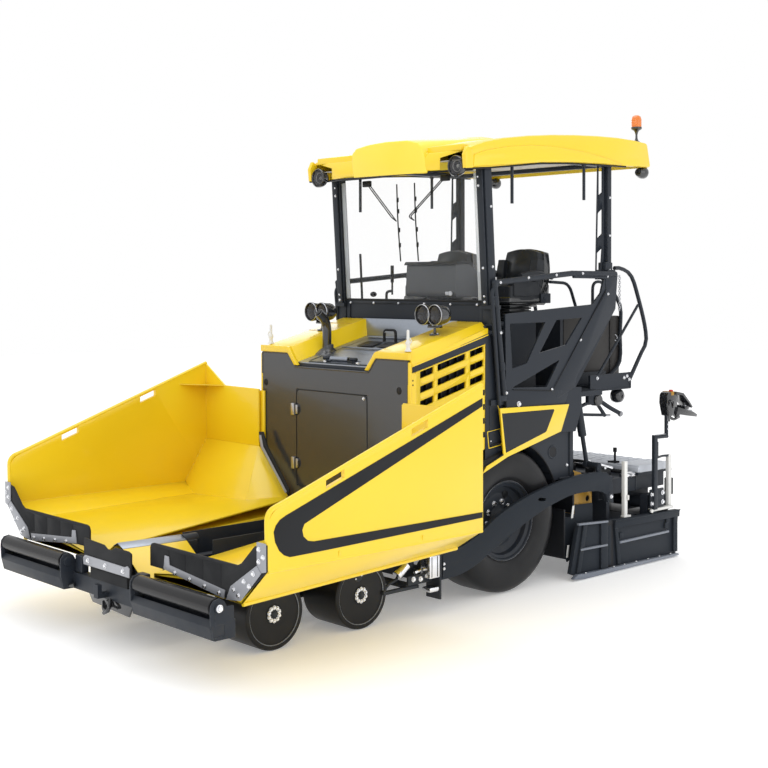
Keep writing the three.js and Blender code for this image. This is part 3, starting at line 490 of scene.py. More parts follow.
def bend(points, radius):
    # a path with its corners rounded
    points = [place(*point) for point in points]
    path = [points[0]]
    for before, corner, after in zip(points, points[1:], points[2:]):
        back, ahead = before - corner, after - corner
        reach = min(radius, back.length * 0.45, ahead.length * 0.45)
        start = corner + back.normalized() * reach
        end = corner + ahead.normalized() * reach
        for step in range(6):
            t = step / 5
            path.append(start * (1 - t) ** 2 + corner * 2 * t * (1 - t) + end * t ** 2)
    path.append(points[-1])
    return path


def tube(points, radius, corner=0.08, rings=3):
    letGo()
    path = bend(points, corner)
    bpy.ops.curve.primitive_bezier_curve_add(location=(0, 0, 0))
    piece = bpy.context.active_object
    line = piece.data
    line.splines.clear()
    strand = line.splines.new("POLY")
    strand.points.add(len(path) - 1)
    for point, spot in zip(strand.points, path):
        point.co = (*spot, 1)
    line.dimensions = "3D"
    line.bevel_depth = radius
    line.bevel_resolution = rings
    line.use_fill_caps = True
    bpy.ops.object.convert(target="MESH")
    bpy.ops.object.mode_set(mode="EDIT")
    closeUp()
    return soften(settle(piece), 0, smooth=50)


def weld(*pieces):
    # several meshes made one object
    pieces = [piece for piece in pieces if piece]
    if len(pieces) > 1:
        pick(*pieces)
        bpy.ops.object.join()
    return pieces[0]


def cutOut(piece, *tools):
    for tool in tools:
        pick(piece)
        hole = piece.modifiers.new("hole", "BOOLEAN")
        hole.operation = "DIFFERENCE"
        hole.solver = "EXACT"
        hole.object = tool
        bpy.ops.object.modifier_apply(modifier=hole.name)
        bpy.data.objects.remove(tool)
    return piece


def copyOf(piece, move=(0, 0, 0)):
    twin = piece.copy()
    twin.data = piece.data.copy()
    bpy.context.scene.collection.objects.link(twin)
    twin.data.transform(Matrix.Translation(Vector(move)))
    return twin


def mirrored(piece):
    twin = copyOf(piece)
    twin.data.transform(Matrix.Diagonal((-1, 1, 1, 1)))
    twin.data.flip_normals()
    return twin


def sided(name, side, known):
    # the name as it is, or with its side where each side has its own
    return name if name in known else f"{name}_{side}"


def done(piece, name, finish, body="tractor", standsFor=None):
    piece.name = name
    piece.data.name = name
    piece.data.materials.clear()
    piece.data.materials.append(finishes[finish])
    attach(piece, body)
    if standsFor:
        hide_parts(standsFor)
    return piece


def donePair(piece, name, finish, body="tractor", standsFor=None):
    # the left piece as made and its mirror image on the right
    both = piece, mirrored(piece)
    for made, side in zip(both, ("left", "right")):
        done(made, f"{name}_{side}", finish, sided(body, side, frame["bodies"]),
            standsFor and sided(standsFor, side, frame["nodes"]))
    return both


boltParts = {}


def boltShape(radius):
    # a washer and a hexagon head, looking along +Z
    if radius not in boltParts:
        letGo()
        bpy.ops.mesh.primitive_cylinder_add(vertices=16, radius=radius * 1.35,
            depth=radius * 0.3, location=(0, 0, radius * 0.15))
        washer = settle(bpy.context.active_object)
        letGo()
        bpy.ops.mesh.primitive_cylinder_add(vertices=6, radius=radius, depth=radius * 0.8,
            location=(0, 0, radius * 0.6))
        head = soften(settle(bpy.context.active_object), radius * 0.14, 1)
        both = weld(soften(washer, radius * 0.06, 1), head)
        both.name = f"bolt_{round(radius * 1000)}"
        both.hide_render = True
        boltParts[radius] = both
    return boltParts[radius]


def bolts(spots, radius, facing):
    # one object with a bolt at each spot
    shape = boltShape(radius)
    turn = Vector(facing).to_track_quat("Z", "Y").to_matrix().to_4x4()
    made = []
    for spot in spots:
        bolt = copyOf(shape)
        bolt.hide_render = False
        bolt.data.transform(Matrix.Translation(place(*spot)) @ turn)
        made.append(bolt)
    return weld(*made)


def clearPatterns():
    for shape in boltParts.values():
        bpy.data.objects.remove(shape)


# rear wheels
rearWheel = {"x": 0.705, "z": 0.55, "nuts": 10, "nutCircle": 0.14, "steps": 96}
tyreProfile = [(0.302, 0.15), (0.315, 0.172), (0.345, 0.186), (0.4, 0.195), (0.455, 0.195),
    (0.5, 0.188), (0.527, 0.174), (0.543, 0.15), (0.5495, 0.11), (0.55, 0.0),
    (0.5495, -0.11), (0.543, -0.15), (0.527, -0.174), (0.5, -0.188), (0.455, -0.195),
    (0.345, -0.186), (0.302, -0.15)]
rimProfile = [(0.306, -0.15), (0.306, 0.158), (0.3, 0.168), (0.292, 0.166), (0.284, 0.15),
    (0.262, 0.14), (0.256, 0.124), (0.252, 0.106), (0.205, 0.086), (0.185, 0.092),
    (0.11, 0.092), (0.1, 0.102), (0.086, 0.132), (0.07, 0.142), (0.0, 0.144)]


def ringSpots(count, radius, x, y, z, first=0.0):
    return [(x, y + radius * math.sin(first + 2 * math.pi * i / count),
        z + radius * math.cos(first + 2 * math.pi * i / count)) for i in range(count)]


def makeRearWheel():
    setup = rearWheel
    x, middle, steps = setup["x"], setup["z"], setup["steps"]
    hub = (x, 0, middle)
    tyre = spun(tyreProfile, hub, steps=steps, smooth=50)
    rim = spun(rimProfile, hub, steps=steps)
    # black discs stand for the two rim holes: painted shade inside them
    holes = []
    for i in range(2):
        angle = math.radians(200 + 180 * i)
        y, z = 0.2 * math.sin(angle), middle + 0.2 * math.cos(angle)
        holes.append(rod((x + 0.079, y, z), (x + 0.0955, y, z), 0.032, 24))
    nuts = bolts(ringSpots(setup["nuts"], setup["nutCircle"], x + 0.092, 0, middle, 0.2),
        0.017, (1, 0, 0))
    collars = [rod((x + 0.084, y, z), (x + 0.104, y, z), 0.021, 16)
        for _, y, z in ringSpots(setup["nuts"], setup["nutCircle"], 0, 0, middle, 0.2)]
    # the lip ring is bright steel as a painted highlight: it stands in for the bright
    # highlight ring on the dark rim's edge
    lip = spun([(0.299, 0.158), (0.3035, 0.1655), (0.3075, 0.158)], hub, steps=64)
    donePair(tyre, "rear_tyre", "tyre", "rear_wheel", "rear_wheel")
    donePair(rim, "rear_rim", "darkPaint", "rear_wheel")
    donePair(weld(*holes), "rear_rim_hole", "blackPaintAndShade", "rear_wheel")
    donePair(weld(nuts, *collars), "rear_wheel_nut", "bright", "rear_wheel")
    donePair(lip, "rear_rim_highlight_lip", "steel", "rear_wheel")


makeRearWheel()

# front wheels
frontWheel = {
    "x": 0.72, "z": 0.234, "spots": {"front": -2.24, "middle": -1.492}, "bolts": 10,
    "boltCircle": 0.043, "steps": 72
}
rollProfile = [(0.15, -0.06), (0.15, -0.18), (0.222, -0.18), (0.2315, -0.172),
    (0.234, -0.16), (0.234, 0.16), (0.2315, 0.172), (0.224, 0.179), (0.216, 0.18),
    (0.203, 0.1795), (0.199, 0.172), (0.194, 0.168), (0.1, 0.166), (0.062, 0.1665),
    (0.058, 0.16), (0.0, 0.16)]


def makeFrontWheels():
    setup = frontWheel
    x, z, steps = setup["x"], setup["z"], setup["steps"]
    for station, y in setup["spots"].items():
        hub = (x, y, z)
        roll = spun(rollProfile, hub, steps=steps, smooth=35)
        inner = spun([(0.15, -0.062), (0.0, -0.062), (0.0, -0.052), (0.15, -0.052)], hub,
            steps=48)
        ring = spun([(0.2005, 0.17), (0.203, 0.1745), (0.2005, 0.179), (0.196, 0.1735),
            (0.2005, 0.17)], hub, steps=steps)
        flange = spun([(0.0, 0.168), (0.022, 0.168), (0.024, 0.172), (0.056, 0.172),
            (0.059, 0.168), (0.059, 0.158)], hub, steps=48)
        dome = spun([(0.0, 0.181), (0.012, 0.18), (0.02, 0.175), (0.022, 0.166)], hub,
            steps=32)
        heads = bolts(ringSpots(setup["bolts"], setup["boltCircle"], x + 0.17, y, z),
            0.0105, (1, 0, 0))
        cap = rod((x + 0.16, y - 0.02, z + 0.13), (x + 0.17, y - 0.02, z + 0.13), 0.034, 32)
        screws = bolts([(x + 0.169, y - 0.046, z + 0.118),
            (x + 0.169, y + 0.007, z + 0.134)], 0.005, (1, 0, 0))
        body = f"{station}_wheel"
        donePair(weld(roll, inner), f"{station}_tyre", "tyre", body, f"{station}_wheel")
        donePair(ring, f"{station}_wheel_ring", "ledgeGrey", body)
        donePair(weld(flange, dome, cap), f"{station}_hub_flange", "darkPaint", body)
        donePair(weld(heads, screws), f"{station}_hub_bolts", "bright", body)


makeFrontWheels()
print("wheels made")

# hopper wing sheets
wingShell = {
    "front": -2.83, "rear": -1.032, "sheet": 0.012,
    "nose": [(-1.032, 0.712), (-2.83, 0.712), (-2.83, 0.96), (-2.824, 1.0), (-2.806, 1.036),
        (-2.776, 1.064), (-2.735, 1.083), (-1.032, 1.685)],
    "slots": [((-2.395, 1.206), (-2.25, 1.257)), ((-1.69, 1.453), (-1.545, 1.504))],
    "slotHeight": 0.058, "bend": (-1.05, 1.055), "foot": (-1.372, 0.652),
}


def sheetOf(corners, depth, soft=0.002):
    return slab(corners, depth, soft)


def makeWingShell():
    front, rear, sheet = wingShell["front"], wingShell["rear"], wingShell["sheet"]
    wall = sideSlab(wingShell["nose"], 1.57, 0.03, 0.004)
    tall = wingShell["slotHeight"]
    for (y0, z0), (y1, z1) in wingShell["slots"]:
        wall = cutOut(wall, sideSlab([(y0, z0), (y1, z1), (y1, z1 - tall), (y0, z0 - tall)],
            1.55, 0.07, 0))
    wall = soften(wall, 0, smooth=30)
    deck = slab([(0.4, front, 0.482), (0.4, front, 0.505), (1.3, front, 0.58),
        (1.3, front, 0.482)], (0, rear - front, 0.078), 0.004)
    top = sheetOf([(0.4, front, 0.512), (1.3, front, 0.636), (1.3, rear, 0.664),
        (0.4, rear, 0.698)], (0, 0, -sheet))
    rise = sheetOf([(1.298, front, 0.636), (1.574, front, 0.716), (1.574, rear, 0.716),
        (1.298, rear, 0.664)], (0, 0, -sheet))
    under = sheetOf([(1.6, front, 0.715), (1.35, front, 0.482), (1.35, rear, 0.56),
        (1.6, rear, 0.715)], (-sheet, 0, 0.008))
    belly = sheetOf([(1.352, front, 0.482), (1.29, front, 0.482), (1.29, rear, 0.56),
        (1.352, rear, 0.56)], (0, 0, 0.01))
    ends = [frontSlab([(0.4, bottom), (0.4, inner), (1.3, outer), (1.574, 0.716),
        (1.6, 0.715), (1.35, bottom)], y, depth, 0.002)
        for y, depth, bottom, inner, outer in ((front, 0.01, 0.482, 0.512, 0.636),
        (rear - 0.01, 0.01, 0.56, 0.698, 0.664))]
    bendY, bendZ = wingShell["bend"]
    footY, footZ = wingShell["foot"]
    back = [frontSlab([(1.572, bendZ), (1.572, 1.684), (1.3, 1.516), (0.84, 1.514),
        (0.84, bendZ)], bendY, 0.016, 0.003),
        sheetOf([(1.572, bendY, bendZ), (0.84, bendY, bendZ), (0.6, footY, footZ - 0.01),
        (1.3, footY, footZ), (1.572, footY + 0.11, footZ + 0.072)], (0, 0.014, 0)),
        sheetOf([(0.84, bendY, bendZ), (0.47, bendY - 0.006, 0.7),
        (0.43, footY + 0.16, 0.655), (0.6, footY, footZ - 0.012)], (0, 0.012, 0))]
    corner = sheetOf([(1.572, -1.31, 1.526), (1.3, bendY, 1.516), (1.572, bendY, 1.508)],
        (0, 0, -0.006), 0.001)
    lug = [block((0.424, y - 0.03, 0.474), (0.46, y + 0.03, 0.5 + (y - front) * 0.043),
        0.004) for y in (-2.56, -1.9, -1.24)]
    shell = weld(wall, deck, top, rise, under, belly, corner, *ends, *back, *lug)
    donePair(shell, "wing_shell", "yellowPaint", "wing", "hopper_wing")
    rubber = sheetOf([(0.8, bendY - 0.02, 1.175), (0.77, bendY - 0.026, 1.075),
        (0.42, bendY - 0.03, 0.712), (0.408, bendY - 0.024, 0.76),
        (0.7, bendY - 0.02, 1.08), (0.752, bendY - 0.012, 1.18)], (0, -0.01, 0))
    silver = sheetOf([(0.786, bendY - 0.032, 1.15), (0.758, bendY - 0.038, 1.06),
        (0.44, bendY - 0.042, 0.728), (0.428, bendY - 0.04, 0.744),
        (0.73, bendY - 0.036, 1.066), (0.764, bendY - 0.03, 1.154)], (0, -0.006, 0))
    donePair(rubber, "back_rubber", "rubber", "wing")
    donePair(silver, "back_strip", "greyPaint", "wing")


# middle of the hopper mouth
def makeMouth():
    y = -2.955
    flap = frontSlab([(-0.265, 0.478), (0.325, 0.478), (0.328, 0.64), (0.29, 0.652),
        (0.13, 0.652), (0.085, 0.628), (0.035, 0.628), (-0.01, 0.65), (-0.262, 0.662)],
        y + 0.013, -0.014, 0.004)
    foot = block((-0.2, -2.944, 0.4005), (0.26, -2.862, 0.474), 0.004)
    done(weld(flap, foot), "mouth_flap", "rubber", standsFor="center_flap")
    strip = frontSlab([(-0.255, 0.486), (0.318, 0.486), (0.32, 0.545), (0.296, 0.56),
        (0.262, 0.548), (-0.235, 0.552), (-0.262, 0.53)], y - 0.001, -0.008, 0.003)
    done(strip, "mouth_strip", "greyPaint")
    done(bolts([(x, y - 0.009, 0.52) for x in (-0.19, 0.03, 0.25)], 0.013, (0, -1, 0)),
        "mouth_bolts", "bright")
    ridge = [sheetOf([(-0.01, -2.85, 0.65), (-0.01, -2.35, 0.64), (x, -2.35, low),
        (x, -2.85, low + 0.01)], (0, 0, -0.006))
        for x, low in ((0.06, 0.61), (-0.06, 0.615))]
    done(weld(*ridge), "divider_ridge", "greyMetal")
    panels = [sheetOf([(side * 0.062, -2.85, top), (side * 0.062, -2.35, top - 0.01),
        (side * 0.3, -2.35, low), (side * 0.3, -2.85, low + 0.01)], (0, 0, -0.006))
        for side, top, low in ((1, 0.618, 0.445), (-1, 0.622, 0.455))]
    done(weld(*panels), "divider_sides", "yellowPaint")
    end = [rod((0.0, -2.35, 0.6), (0.0, -2.23, 0.6), 0.04, 28),
        block((-0.05, -2.42, 0.44), (0.05, -2.25, 0.6), 0.008)]
    done(weld(*end), "divider_end", "darkPaint")
    nose = [frontSlab([(-0.2, 0.236), (0.26, 0.216), (0.3, 0.292), (-0.25, 0.292)], -2.93,
        0.012, 0.003),
        tube([(-0.4, -2.95, 0.322), (-0.48, -2.985, 0.302), (-0.56, -2.985, 0.318)], 0.014,
        corner=0.03),
        tube([(0.06, -2.95, 0.3), (0.1, -2.985, 0.24), (0.04, -2.985, 0.215)], 0.013,
        corner=0.03),
        tube([(-0.02, -2.95, 0.275), (0.02, -2.975, 0.225), (0.08, -2.975, 0.235)], 0.013,
        corner=0.03),
        rod((0.02, -2.955, 0.262), (0.02, -2.932, 0.262), 0.03, 28)]
    done(weld(*nose), "nose_plate", "glossBlack")
    donePair(weld(block((0.34, -2.928, 0.402), (0.43, -2.872, 0.52), 0.008),
        block((0.178, -2.22, 0.362), (0.186, -1.05, 0.61), 0.002)), "tunnel_side",
        "darkPaint")
    donePair(block((0.8, -1.022, 1.0), (0.9, -1.008, 1.5), 0.002), "hood_corner_strip",
        "yellowPaint")
    deck = [block((x, -2.8, 0.35), (x + 0.27, -1.06, 0.362), 0) for x in (-0.345, 0.075)]
    bars = [block((x, y, 0.362), (x + 0.25, y + 0.04, 0.38), 0.004) for x in (-0.335, 0.085)
        for y in [-2.76 + 0.17 * i for i in range(10)]]
    done(weld(*deck, *bars), "conveyor_bars", "darkPaint")


makeWingShell()
makeMouth()
print("wings and mouth made")

# hopper wings
wing = {
    "wall": 1.601, "stripeDepth": 0.0016, "lip": 0.016,
    "band": [(-1.04, 1.6), (-2.7, 1.025), (-2.745, 1.005), (-2.775, 0.975), (-2.79, 0.94),
        (-2.78, 0.88), (-2.75, 0.825), (-2.715, 0.795), (-2.673, 0.778), (-2.4, 0.78),
        (-1.04, 0.803), (-1.04, 0.84), (-2.49, 0.845), (-2.536, 0.855), (-2.57, 0.885),
        (-2.579, 0.925), (-2.563, 0.958), (-1.04, 1.546)],
}


def makeWings():
    band = sideSlab(wing["band"], wing["wall"] - 0.0002, wing["stripeDepth"], soft=0)
    donePair(band, "wing_band", "blackPaintAndShade", "wing")
    lipPath = [(1.585, -2.822, 0.72), (1.585, -2.826, 1.06), (1.585, -2.7, 1.098),
        (1.585, -1.035, 1.687)]
    lip = tube(lipPath, wing["lip"], corner=0.2, rings=4)
    donePair(lip, "wing_lip", "yellowPaint", "wing")
    fold = tube([(1.59, -2.825, 0.712), (1.59, -1.034, 0.712)], 0.012, rings=3)
    floorEdge = tube([(1.352, -2.828, 0.482), (1.352, -1.034, 0.562)], 0.014, rings=3)
    hem = tube([(0.414, -2.826, 0.5), (0.414, -1.034, 0.586)], 0.01, rings=3)
    donePair(weld(fold, floorEdge, hem), "wing_folds", "yellowPaint", "wing")
    ribs = [block((1.598, y, 0.73), (1.606, y + 0.012, 0.76)) for y in (-2.3, -1.6)]
    donePair(weld(*ribs), "wing_seam", "yellowPaint", "wing")


makeWings()

# rubber flaps and their clamping strips
frontFlap = {
    "rear": -2.8303, "thick": 0.015,
    "outline": [(0.38, 0.56), (0.38, 0.68), (0.395, 0.705), (0.42, 0.712), (1.32, 0.712),
        (1.36, 0.73), (1.49, 0.85), (1.6, 0.87), (1.6, 0.714), (1.355, 0.514), (1.21, 0.5),
        (0.54, 0.56)],
    "strip": [(0.545, 0.565), (0.56, 0.655), (0.605, 0.652), (0.612, 0.6), (1.205, 0.545),
        (1.19, 0.492)],
    "diagonal": [(1.215, 0.49), (1.262, 0.58), (1.518, 0.742), (1.56, 0.702),
        (1.36, 0.508)],
    "outer": [(1.52, 0.745), (1.52, 0.88), (1.604, 0.88), (1.604, 0.716), (1.562, 0.705)],
    "slits": [0.6, 0.78, 0.97, 1.16],
}


def makeFlaps():
    face = frontFlap["rear"] - frontFlap["thick"]
    flap = frontSlab(frontFlap["outline"], frontFlap["rear"], -frontFlap["thick"], 0.004)
    slits = [block((x, face - 0.01, 0.565), (x + 0.0035, face + 0.03, 0.69), 0)
        for x in frontFlap["slits"]]
    flap = cutOut(flap, *slits)
    donePair(flap, "rubber_flap", "rubber", "wing", "front_flap")
    strips = [frontSlab(frontFlap[key], face, -0.008, 0.003)
        for key in ("strip", "diagonal", "outer")]
    donePair(weld(*strips), "flap_strip", "greyPaint", "wing")
    heads = [(0.68, 0.563), (0.84, 0.549), (1.0, 0.535), (1.15, 0.521), (1.3, 0.565),
        (1.4, 0.63), (1.49, 0.69), (1.345, 0.54), (1.45, 0.61), (1.545, 0.77),
        (1.545, 0.84), (1.585, 0.8)]
    donePair(bolts([(x, face - 0.008, z) for x, z in heads], 0.012, (0, -1, 0)),
        "flap_bolts", "bright", "wing")


makeFlaps()

# push rollers and their skirts
roller = {"x0": 0.466, "x1": 1.294, "y": -2.98, "z": 0.48, "radius": 0.055}


def makeRollers():
    y, z, radius = roller["y"], roller["z"], roller["radius"]
    middle = (roller["x0"] + roller["x1"]) / 2
    half = (roller["x1"] - roller["x0"]) / 2
    profile = [(0.0135, -half), (radius - 0.004, -half), (radius, -half + 0.004),
        (radius, half - 0.004), (radius - 0.004, half), (0.0135, half)]
    drum = spun(profile, (middle, y, z), steps=48, smooth=30)
    donePair(drum, "roller_drum", "rollerBlack", "roller", "push_roller")
    capOutline = [(y - 0.052, z + 0.02), (y - 0.03, z + 0.048), (y + 0.01, z + 0.056),
        (y + 0.045, z + 0.035), (y + 0.09, z - 0.05), (y + 0.1, z - 0.19),
        (y - 0.03, z - 0.19), (y - 0.052, z - 0.1), (y - 0.056, z - 0.02)]
    caps = [sideSlab(capOutline, x, 0.012, 0.003) for x in (1.3065, 0.4365)]
    hubs = [rod((1.3185, y, z), (1.33, y, z), 0.03, 32),
        rod((0.426, y, z), (0.4365, y, z), 0.03, 32)]
    skirt = slab([(0.449, y - 0.03, z - 0.07), (0.449, y - 0.052, z - 0.11),
        (0.449, y - 0.03, z - 0.19), (0.449, y - 0.026, z - 0.19),
        (0.449, y - 0.046, z - 0.11), (0.449, y - 0.025, z - 0.072)], (0.857, 0, 0), 0.001)
    lip = slab([(0.449, y - 0.03, z - 0.19), (0.449, y + 0.1, z - 0.19),
        (0.449, y + 0.1, z - 0.186), (0.449, y - 0.03, z - 0.186)], (0.857, 0, 0), 0.001)
    donePair(weld(*caps, *hubs), "roller_cheek", "darkPaint")
    donePair(weld(skirt, lip), "roller_skirt", "darkPaint")
    donePair(bolts([(1.33, y, z)], 0.018, (1, 0, 0)), "roller_bolt", "bright")


makeRollers()
print("hopper made")

# engine hood
hood = {
    "half": 0.862, "sheet": 0.02, "front": -0.984, "rear": -0.19, "low": 0.681,
    "topFront": 1.866, "topRear": 2.066, "archRadius": 0.611, "archZ": 0.55, "wellTop": 0.5,
    "wellLow": 0.4, "wellDepth": 0.118,
    "columns": [(-0.899, -0.761), (-0.723, -0.43), (-0.386, -0.237)],
    "slotDrop": 0.158, "slotHeight": 0.052, "slotPitch": 0.105, "rows": 3,
    "band": [(-0.978, 1.769), (-0.176, 1.985), (-0.083, 1.412), (-0.018, 1.057),
        (-0.229, 1.005), (-0.222, 1.905), (-0.978, 1.723)],
    "bead": [(-0.95, 1.722), (-0.232, 1.897), (-0.232, 1.6)],
    "marks": (1.562, 1.455, 1.35, 1.247),
    "hatch": [(-0.205, 1.243), (-0.067, 1.258), (-0.05, 1.134), (-0.188, 1.119)],
    "pocket": [(-0.13, 1.236), (-0.082, 1.241), (-0.074, 1.146), (-0.122, 1.141)],
    "seamLine": [(-0.094, 1.44), (-0.083, 1.412), (-0.018, 1.057)],
}


def hoodHeight(y):
    rise = (hood["topRear"] - hood["topFront"]) / (hood["rear"] - hood["front"])
    return hood["topFront"] + (y - hood["front"]) * rise


def arch(yFrom, yTo, steps=12):
    # points on the wheel arch, between two places along the machine
    radius, middle = hood["archRadius"], hood["archZ"]
    spots = [yFrom + (yTo - yFrom) * i / steps for i in range(steps + 1)]
    return [(y, middle + math.sqrt(radius ** 2 - y ** 2)) for y in spots]


def makeHoodSides():
    half, sheet, front, rear = hood["half"], hood["sheet"], hood["front"], hood["rear"]
    side = sideSlab([(front, hood["low"]), *arch(-0.596, rear),
        (rear, hoodHeight(rear) - 0.045), (front, hoodHeight(front) - 0.07)], half - sheet,
        sheet, 0.002)
    slots = []
    for row in range(hood["rows"]):
        for y0, y1 in hood["columns"]:
            drop = hood["slotDrop"] + row * hood["slotPitch"]
            slots.append(sideSlab([(y0, hoodHeight(y0) - drop - hood["slotHeight"]), (y1,
                hoodHeight(y1) - drop - hood["slotHeight"]), (y1, hoodHeight(y1) - drop),
                (y0, hoodHeight(y0) - drop)], half - 2 * sheet, 3 * sheet, 0.006))
    donePair(cutOut(side, *slots), "hood_side", "yellowPaint", standsFor="hood_shell")
    backing = sideSlab([(-0.93, 1.44), (-0.205, 1.44), (-0.205, 1.96), (-0.93, 1.77)], 0.79,
        0.006, 0)
    louvres = [sideSlab([(y, 1.46), (y + 0.012, 1.46), (y + 0.012, hoodHeight(y) - 0.12),
        (y, hoodHeight(y) - 0.12)], 0.8, 0.02, 0) for y in (-0.87, -0.8, -0.65, -0.56,
        -0.48, -0.35, -0.29)]
    donePair(weld(backing, *louvres), "vent_backing", "blackPaintAndShade")


def makeHoodTop():
    front, rear = hood["front"], hood["rear"]
    high, run = hoodHeight(front), rear - front
    rise = hoodHeight(rear) - high
    inner = hood["wellTop"]
    section = [(inner, high), (0.797, high), (0.864, high - 0.064), (0.864, high - 0.094),
        (0.852, high - 0.094), (0.85, high - 0.072), (0.79, high - 0.016),
        (inner, high - 0.016)]
    cap = slab([(x, front, z) for x, z in section], (0, run, rise), 0.005, 3)
    wall = slab([(inner, front, high), (hood["wellLow"], front,
        high - hood["wellDepth"] - 0.02), (hood["wellLow"] + 0.016, front,
        high - hood["wellDepth"] - 0.026), (inner + 0.016, front, high - 0.01)],
        (0, run, rise), 0.004, 3)
    donePair(weld(cap, wall), "hood_top", "yellowPaint")
    hem = tube([(0.8635, front + 0.004, high - 0.096),
        (0.8635, rear - 0.004, high + rise - 0.096)], 0.006)
    donePair(hem, "hood_hem", "yellowPaint")
    seams = [block((inner + 0.01, y, hoodHeight(y) - 0.001),
        (0.795, y + 0.006, hoodHeight(y) + 0.0022), 0) for y in (-0.56, -0.345)]
    donePair(weld(*seams), "hood_seam", "ochrePaint")


def makeHoodWell():
    depth = hood["wellDepth"]
    low = hood["wellLow"] + 0.02

    def floorPiece(y0, y1, x0, x1):
        a, b = hoodHeight(y0) - depth, hoodHeight(y1) - depth
        return slab([(x0, y0, a), (x0, y1, b), (x0, y1, b - 0.008), (x0, y0, a - 0.008)],
            (x1 - x0, 0, 0), 0)

    frameParts = [floorPiece(hood["front"], -0.94, -low, low),
        floorPiece(-0.292, -0.25, -low, low),
        floorPiece(-0.94, -0.292, 0.334, low),
        floorPiece(-0.94, -0.292, -low, -0.334)]
    riser = slab([(-low, -0.262, hoodHeight(-0.262) - depth),
        (-0.545, -0.196, hood["topRear"] + 0.002), (0.545, -0.196, hood["topRear"] + 0.002),
        (low, -0.262, hoodHeight(-0.262) - depth)], (0, 0.012, 0), 0.003)
    done(weld(*frameParts, riser), "well_floor", "greyMetal")
    wallTop = hood["topRear"] - 0.03
    back = [block((-0.842, -0.208, 1.15), (0.842, -0.19, wallTop), 0.002),
        block((-0.49, -0.208, hood["low"]), (0.49, -0.19, 1.16), 0.002)]
    done(weld(*back), "hood_back", "darkPaint")
    ledge = [block((-0.432, -0.984, 1.7), (0.432, -0.935, 1.742), 0.006),
        block((-0.3, -0.975, 1.73), (0.372, -0.95, 1.758), 0.005)]
    done(weld(*ledge), "well_ledge", "darkPaint")
    studs = bolts([(-0.127, -0.955, 1.757), (0.254, -0.955, 1.757)], 0.014, (0, -0.3, 1))
    done(studs, "well_studs", "bright")
    z = hoodHeight(-0.91) - depth + 0.02
    knuckles = [rod((side * 0.12, -0.91, z), (side * 0.19, -0.91, z), 0.014, 20)
        for side in (-1, 1)]
    done(weld(*knuckles), "lid_knuckles", "darkPaint")


def makeLidDetails():
    front, rear = (hoodHeight(y) - 0.1095 for y in (-0.56, -0.43))
    # black slabs stand for the two grille openings: painted shade inside them
    grilles = [slab([(x, -0.56, front), (x + 0.185, -0.56, front), (x + 0.185, -0.43, rear),
        (x, -0.43, rear)], (0, 0, 0.002), 0.0005) for x in (-0.215, 0.02)]
    done(weld(*grilles), "lid_grilles", "blackPaintAndShade", "lid")
    fold = tube([(-0.315, -0.335, hoodHeight(-0.335) - 0.106),
        (0.315, -0.335, hoodHeight(-0.335) - 0.106)], 0.008)
    ridge = tube([(-0.315, -0.61, hoodHeight(-0.61) - 0.108),
        (0.315, -0.61, hoodHeight(-0.61) - 0.108)], 0.006)
    done(weld(fold, ridge), "lid_folds", "greyMetal", "lid")
    y, z = -0.3925, hoodHeight(-0.39) - 0.118
    grip = tube([(-0.066, y, z), (-0.066, y, z + 0.09), (0.066, y, z + 0.09),
        (0.066, y, z)], 0.0115, corner=0.03)
    done(grip, "lid_grip", "blackPaintAndShade", "lid")


def makeHoodSideMarks():
    half = hood["half"]
    band = sideSlab(hood["band"], half - 0.001, 0.006, 0.0015)
    donePair(band, "hood_band", "darkPaint")
    bead = tube([(half + 0.001, y, z) for y, z in hood["bead"]], 0.0042, corner=0.012)
    border = tube([(half + 0.005, y, z) for y, z in (*hood["hatch"], hood["hatch"][0])],
        0.0036, corner=0.004)
    line = tube([(half + 0.005, y, z) for y, z in hood["seamLine"]], 0.0048, corner=0.02)
    donePair(weld(bead, border, line), "hood_beads", "yellowPaint")
    marks = [block((half - 0.001, -0.269, z - 0.042), (half + 0.0015, -0.229, z), 0)
        for z in hood["marks"]]
    pocket = sideSlab(hood["pocket"], half + 0.004, 0.0025, 0.001)
    dots = [rod((half - 0.001, -0.97, z), (half + 0.0012, -0.97, z), 0.0065, 16)
        for z in (1.638, 1.67)]
    donePair(weld(pocket, *marks, *dots), "hood_marks", "blackPaintAndShade")
    donePair(bolts([(half + 0.005, -0.17, 1.172)], 0.006, (1, 0, 0)), "hatch_bolt",
        "bright")
    strip = block((half - 0.0004, -0.998, 0.9), (half + 0.003, -0.985, 1.55), 0.001)
    corner = block((0.842, -1.0065, 0.7), (0.8635, -0.982, 1.8), 0.007, 3)
    donePair(weld(corner, strip), "hood_corner", "yellowPaint")


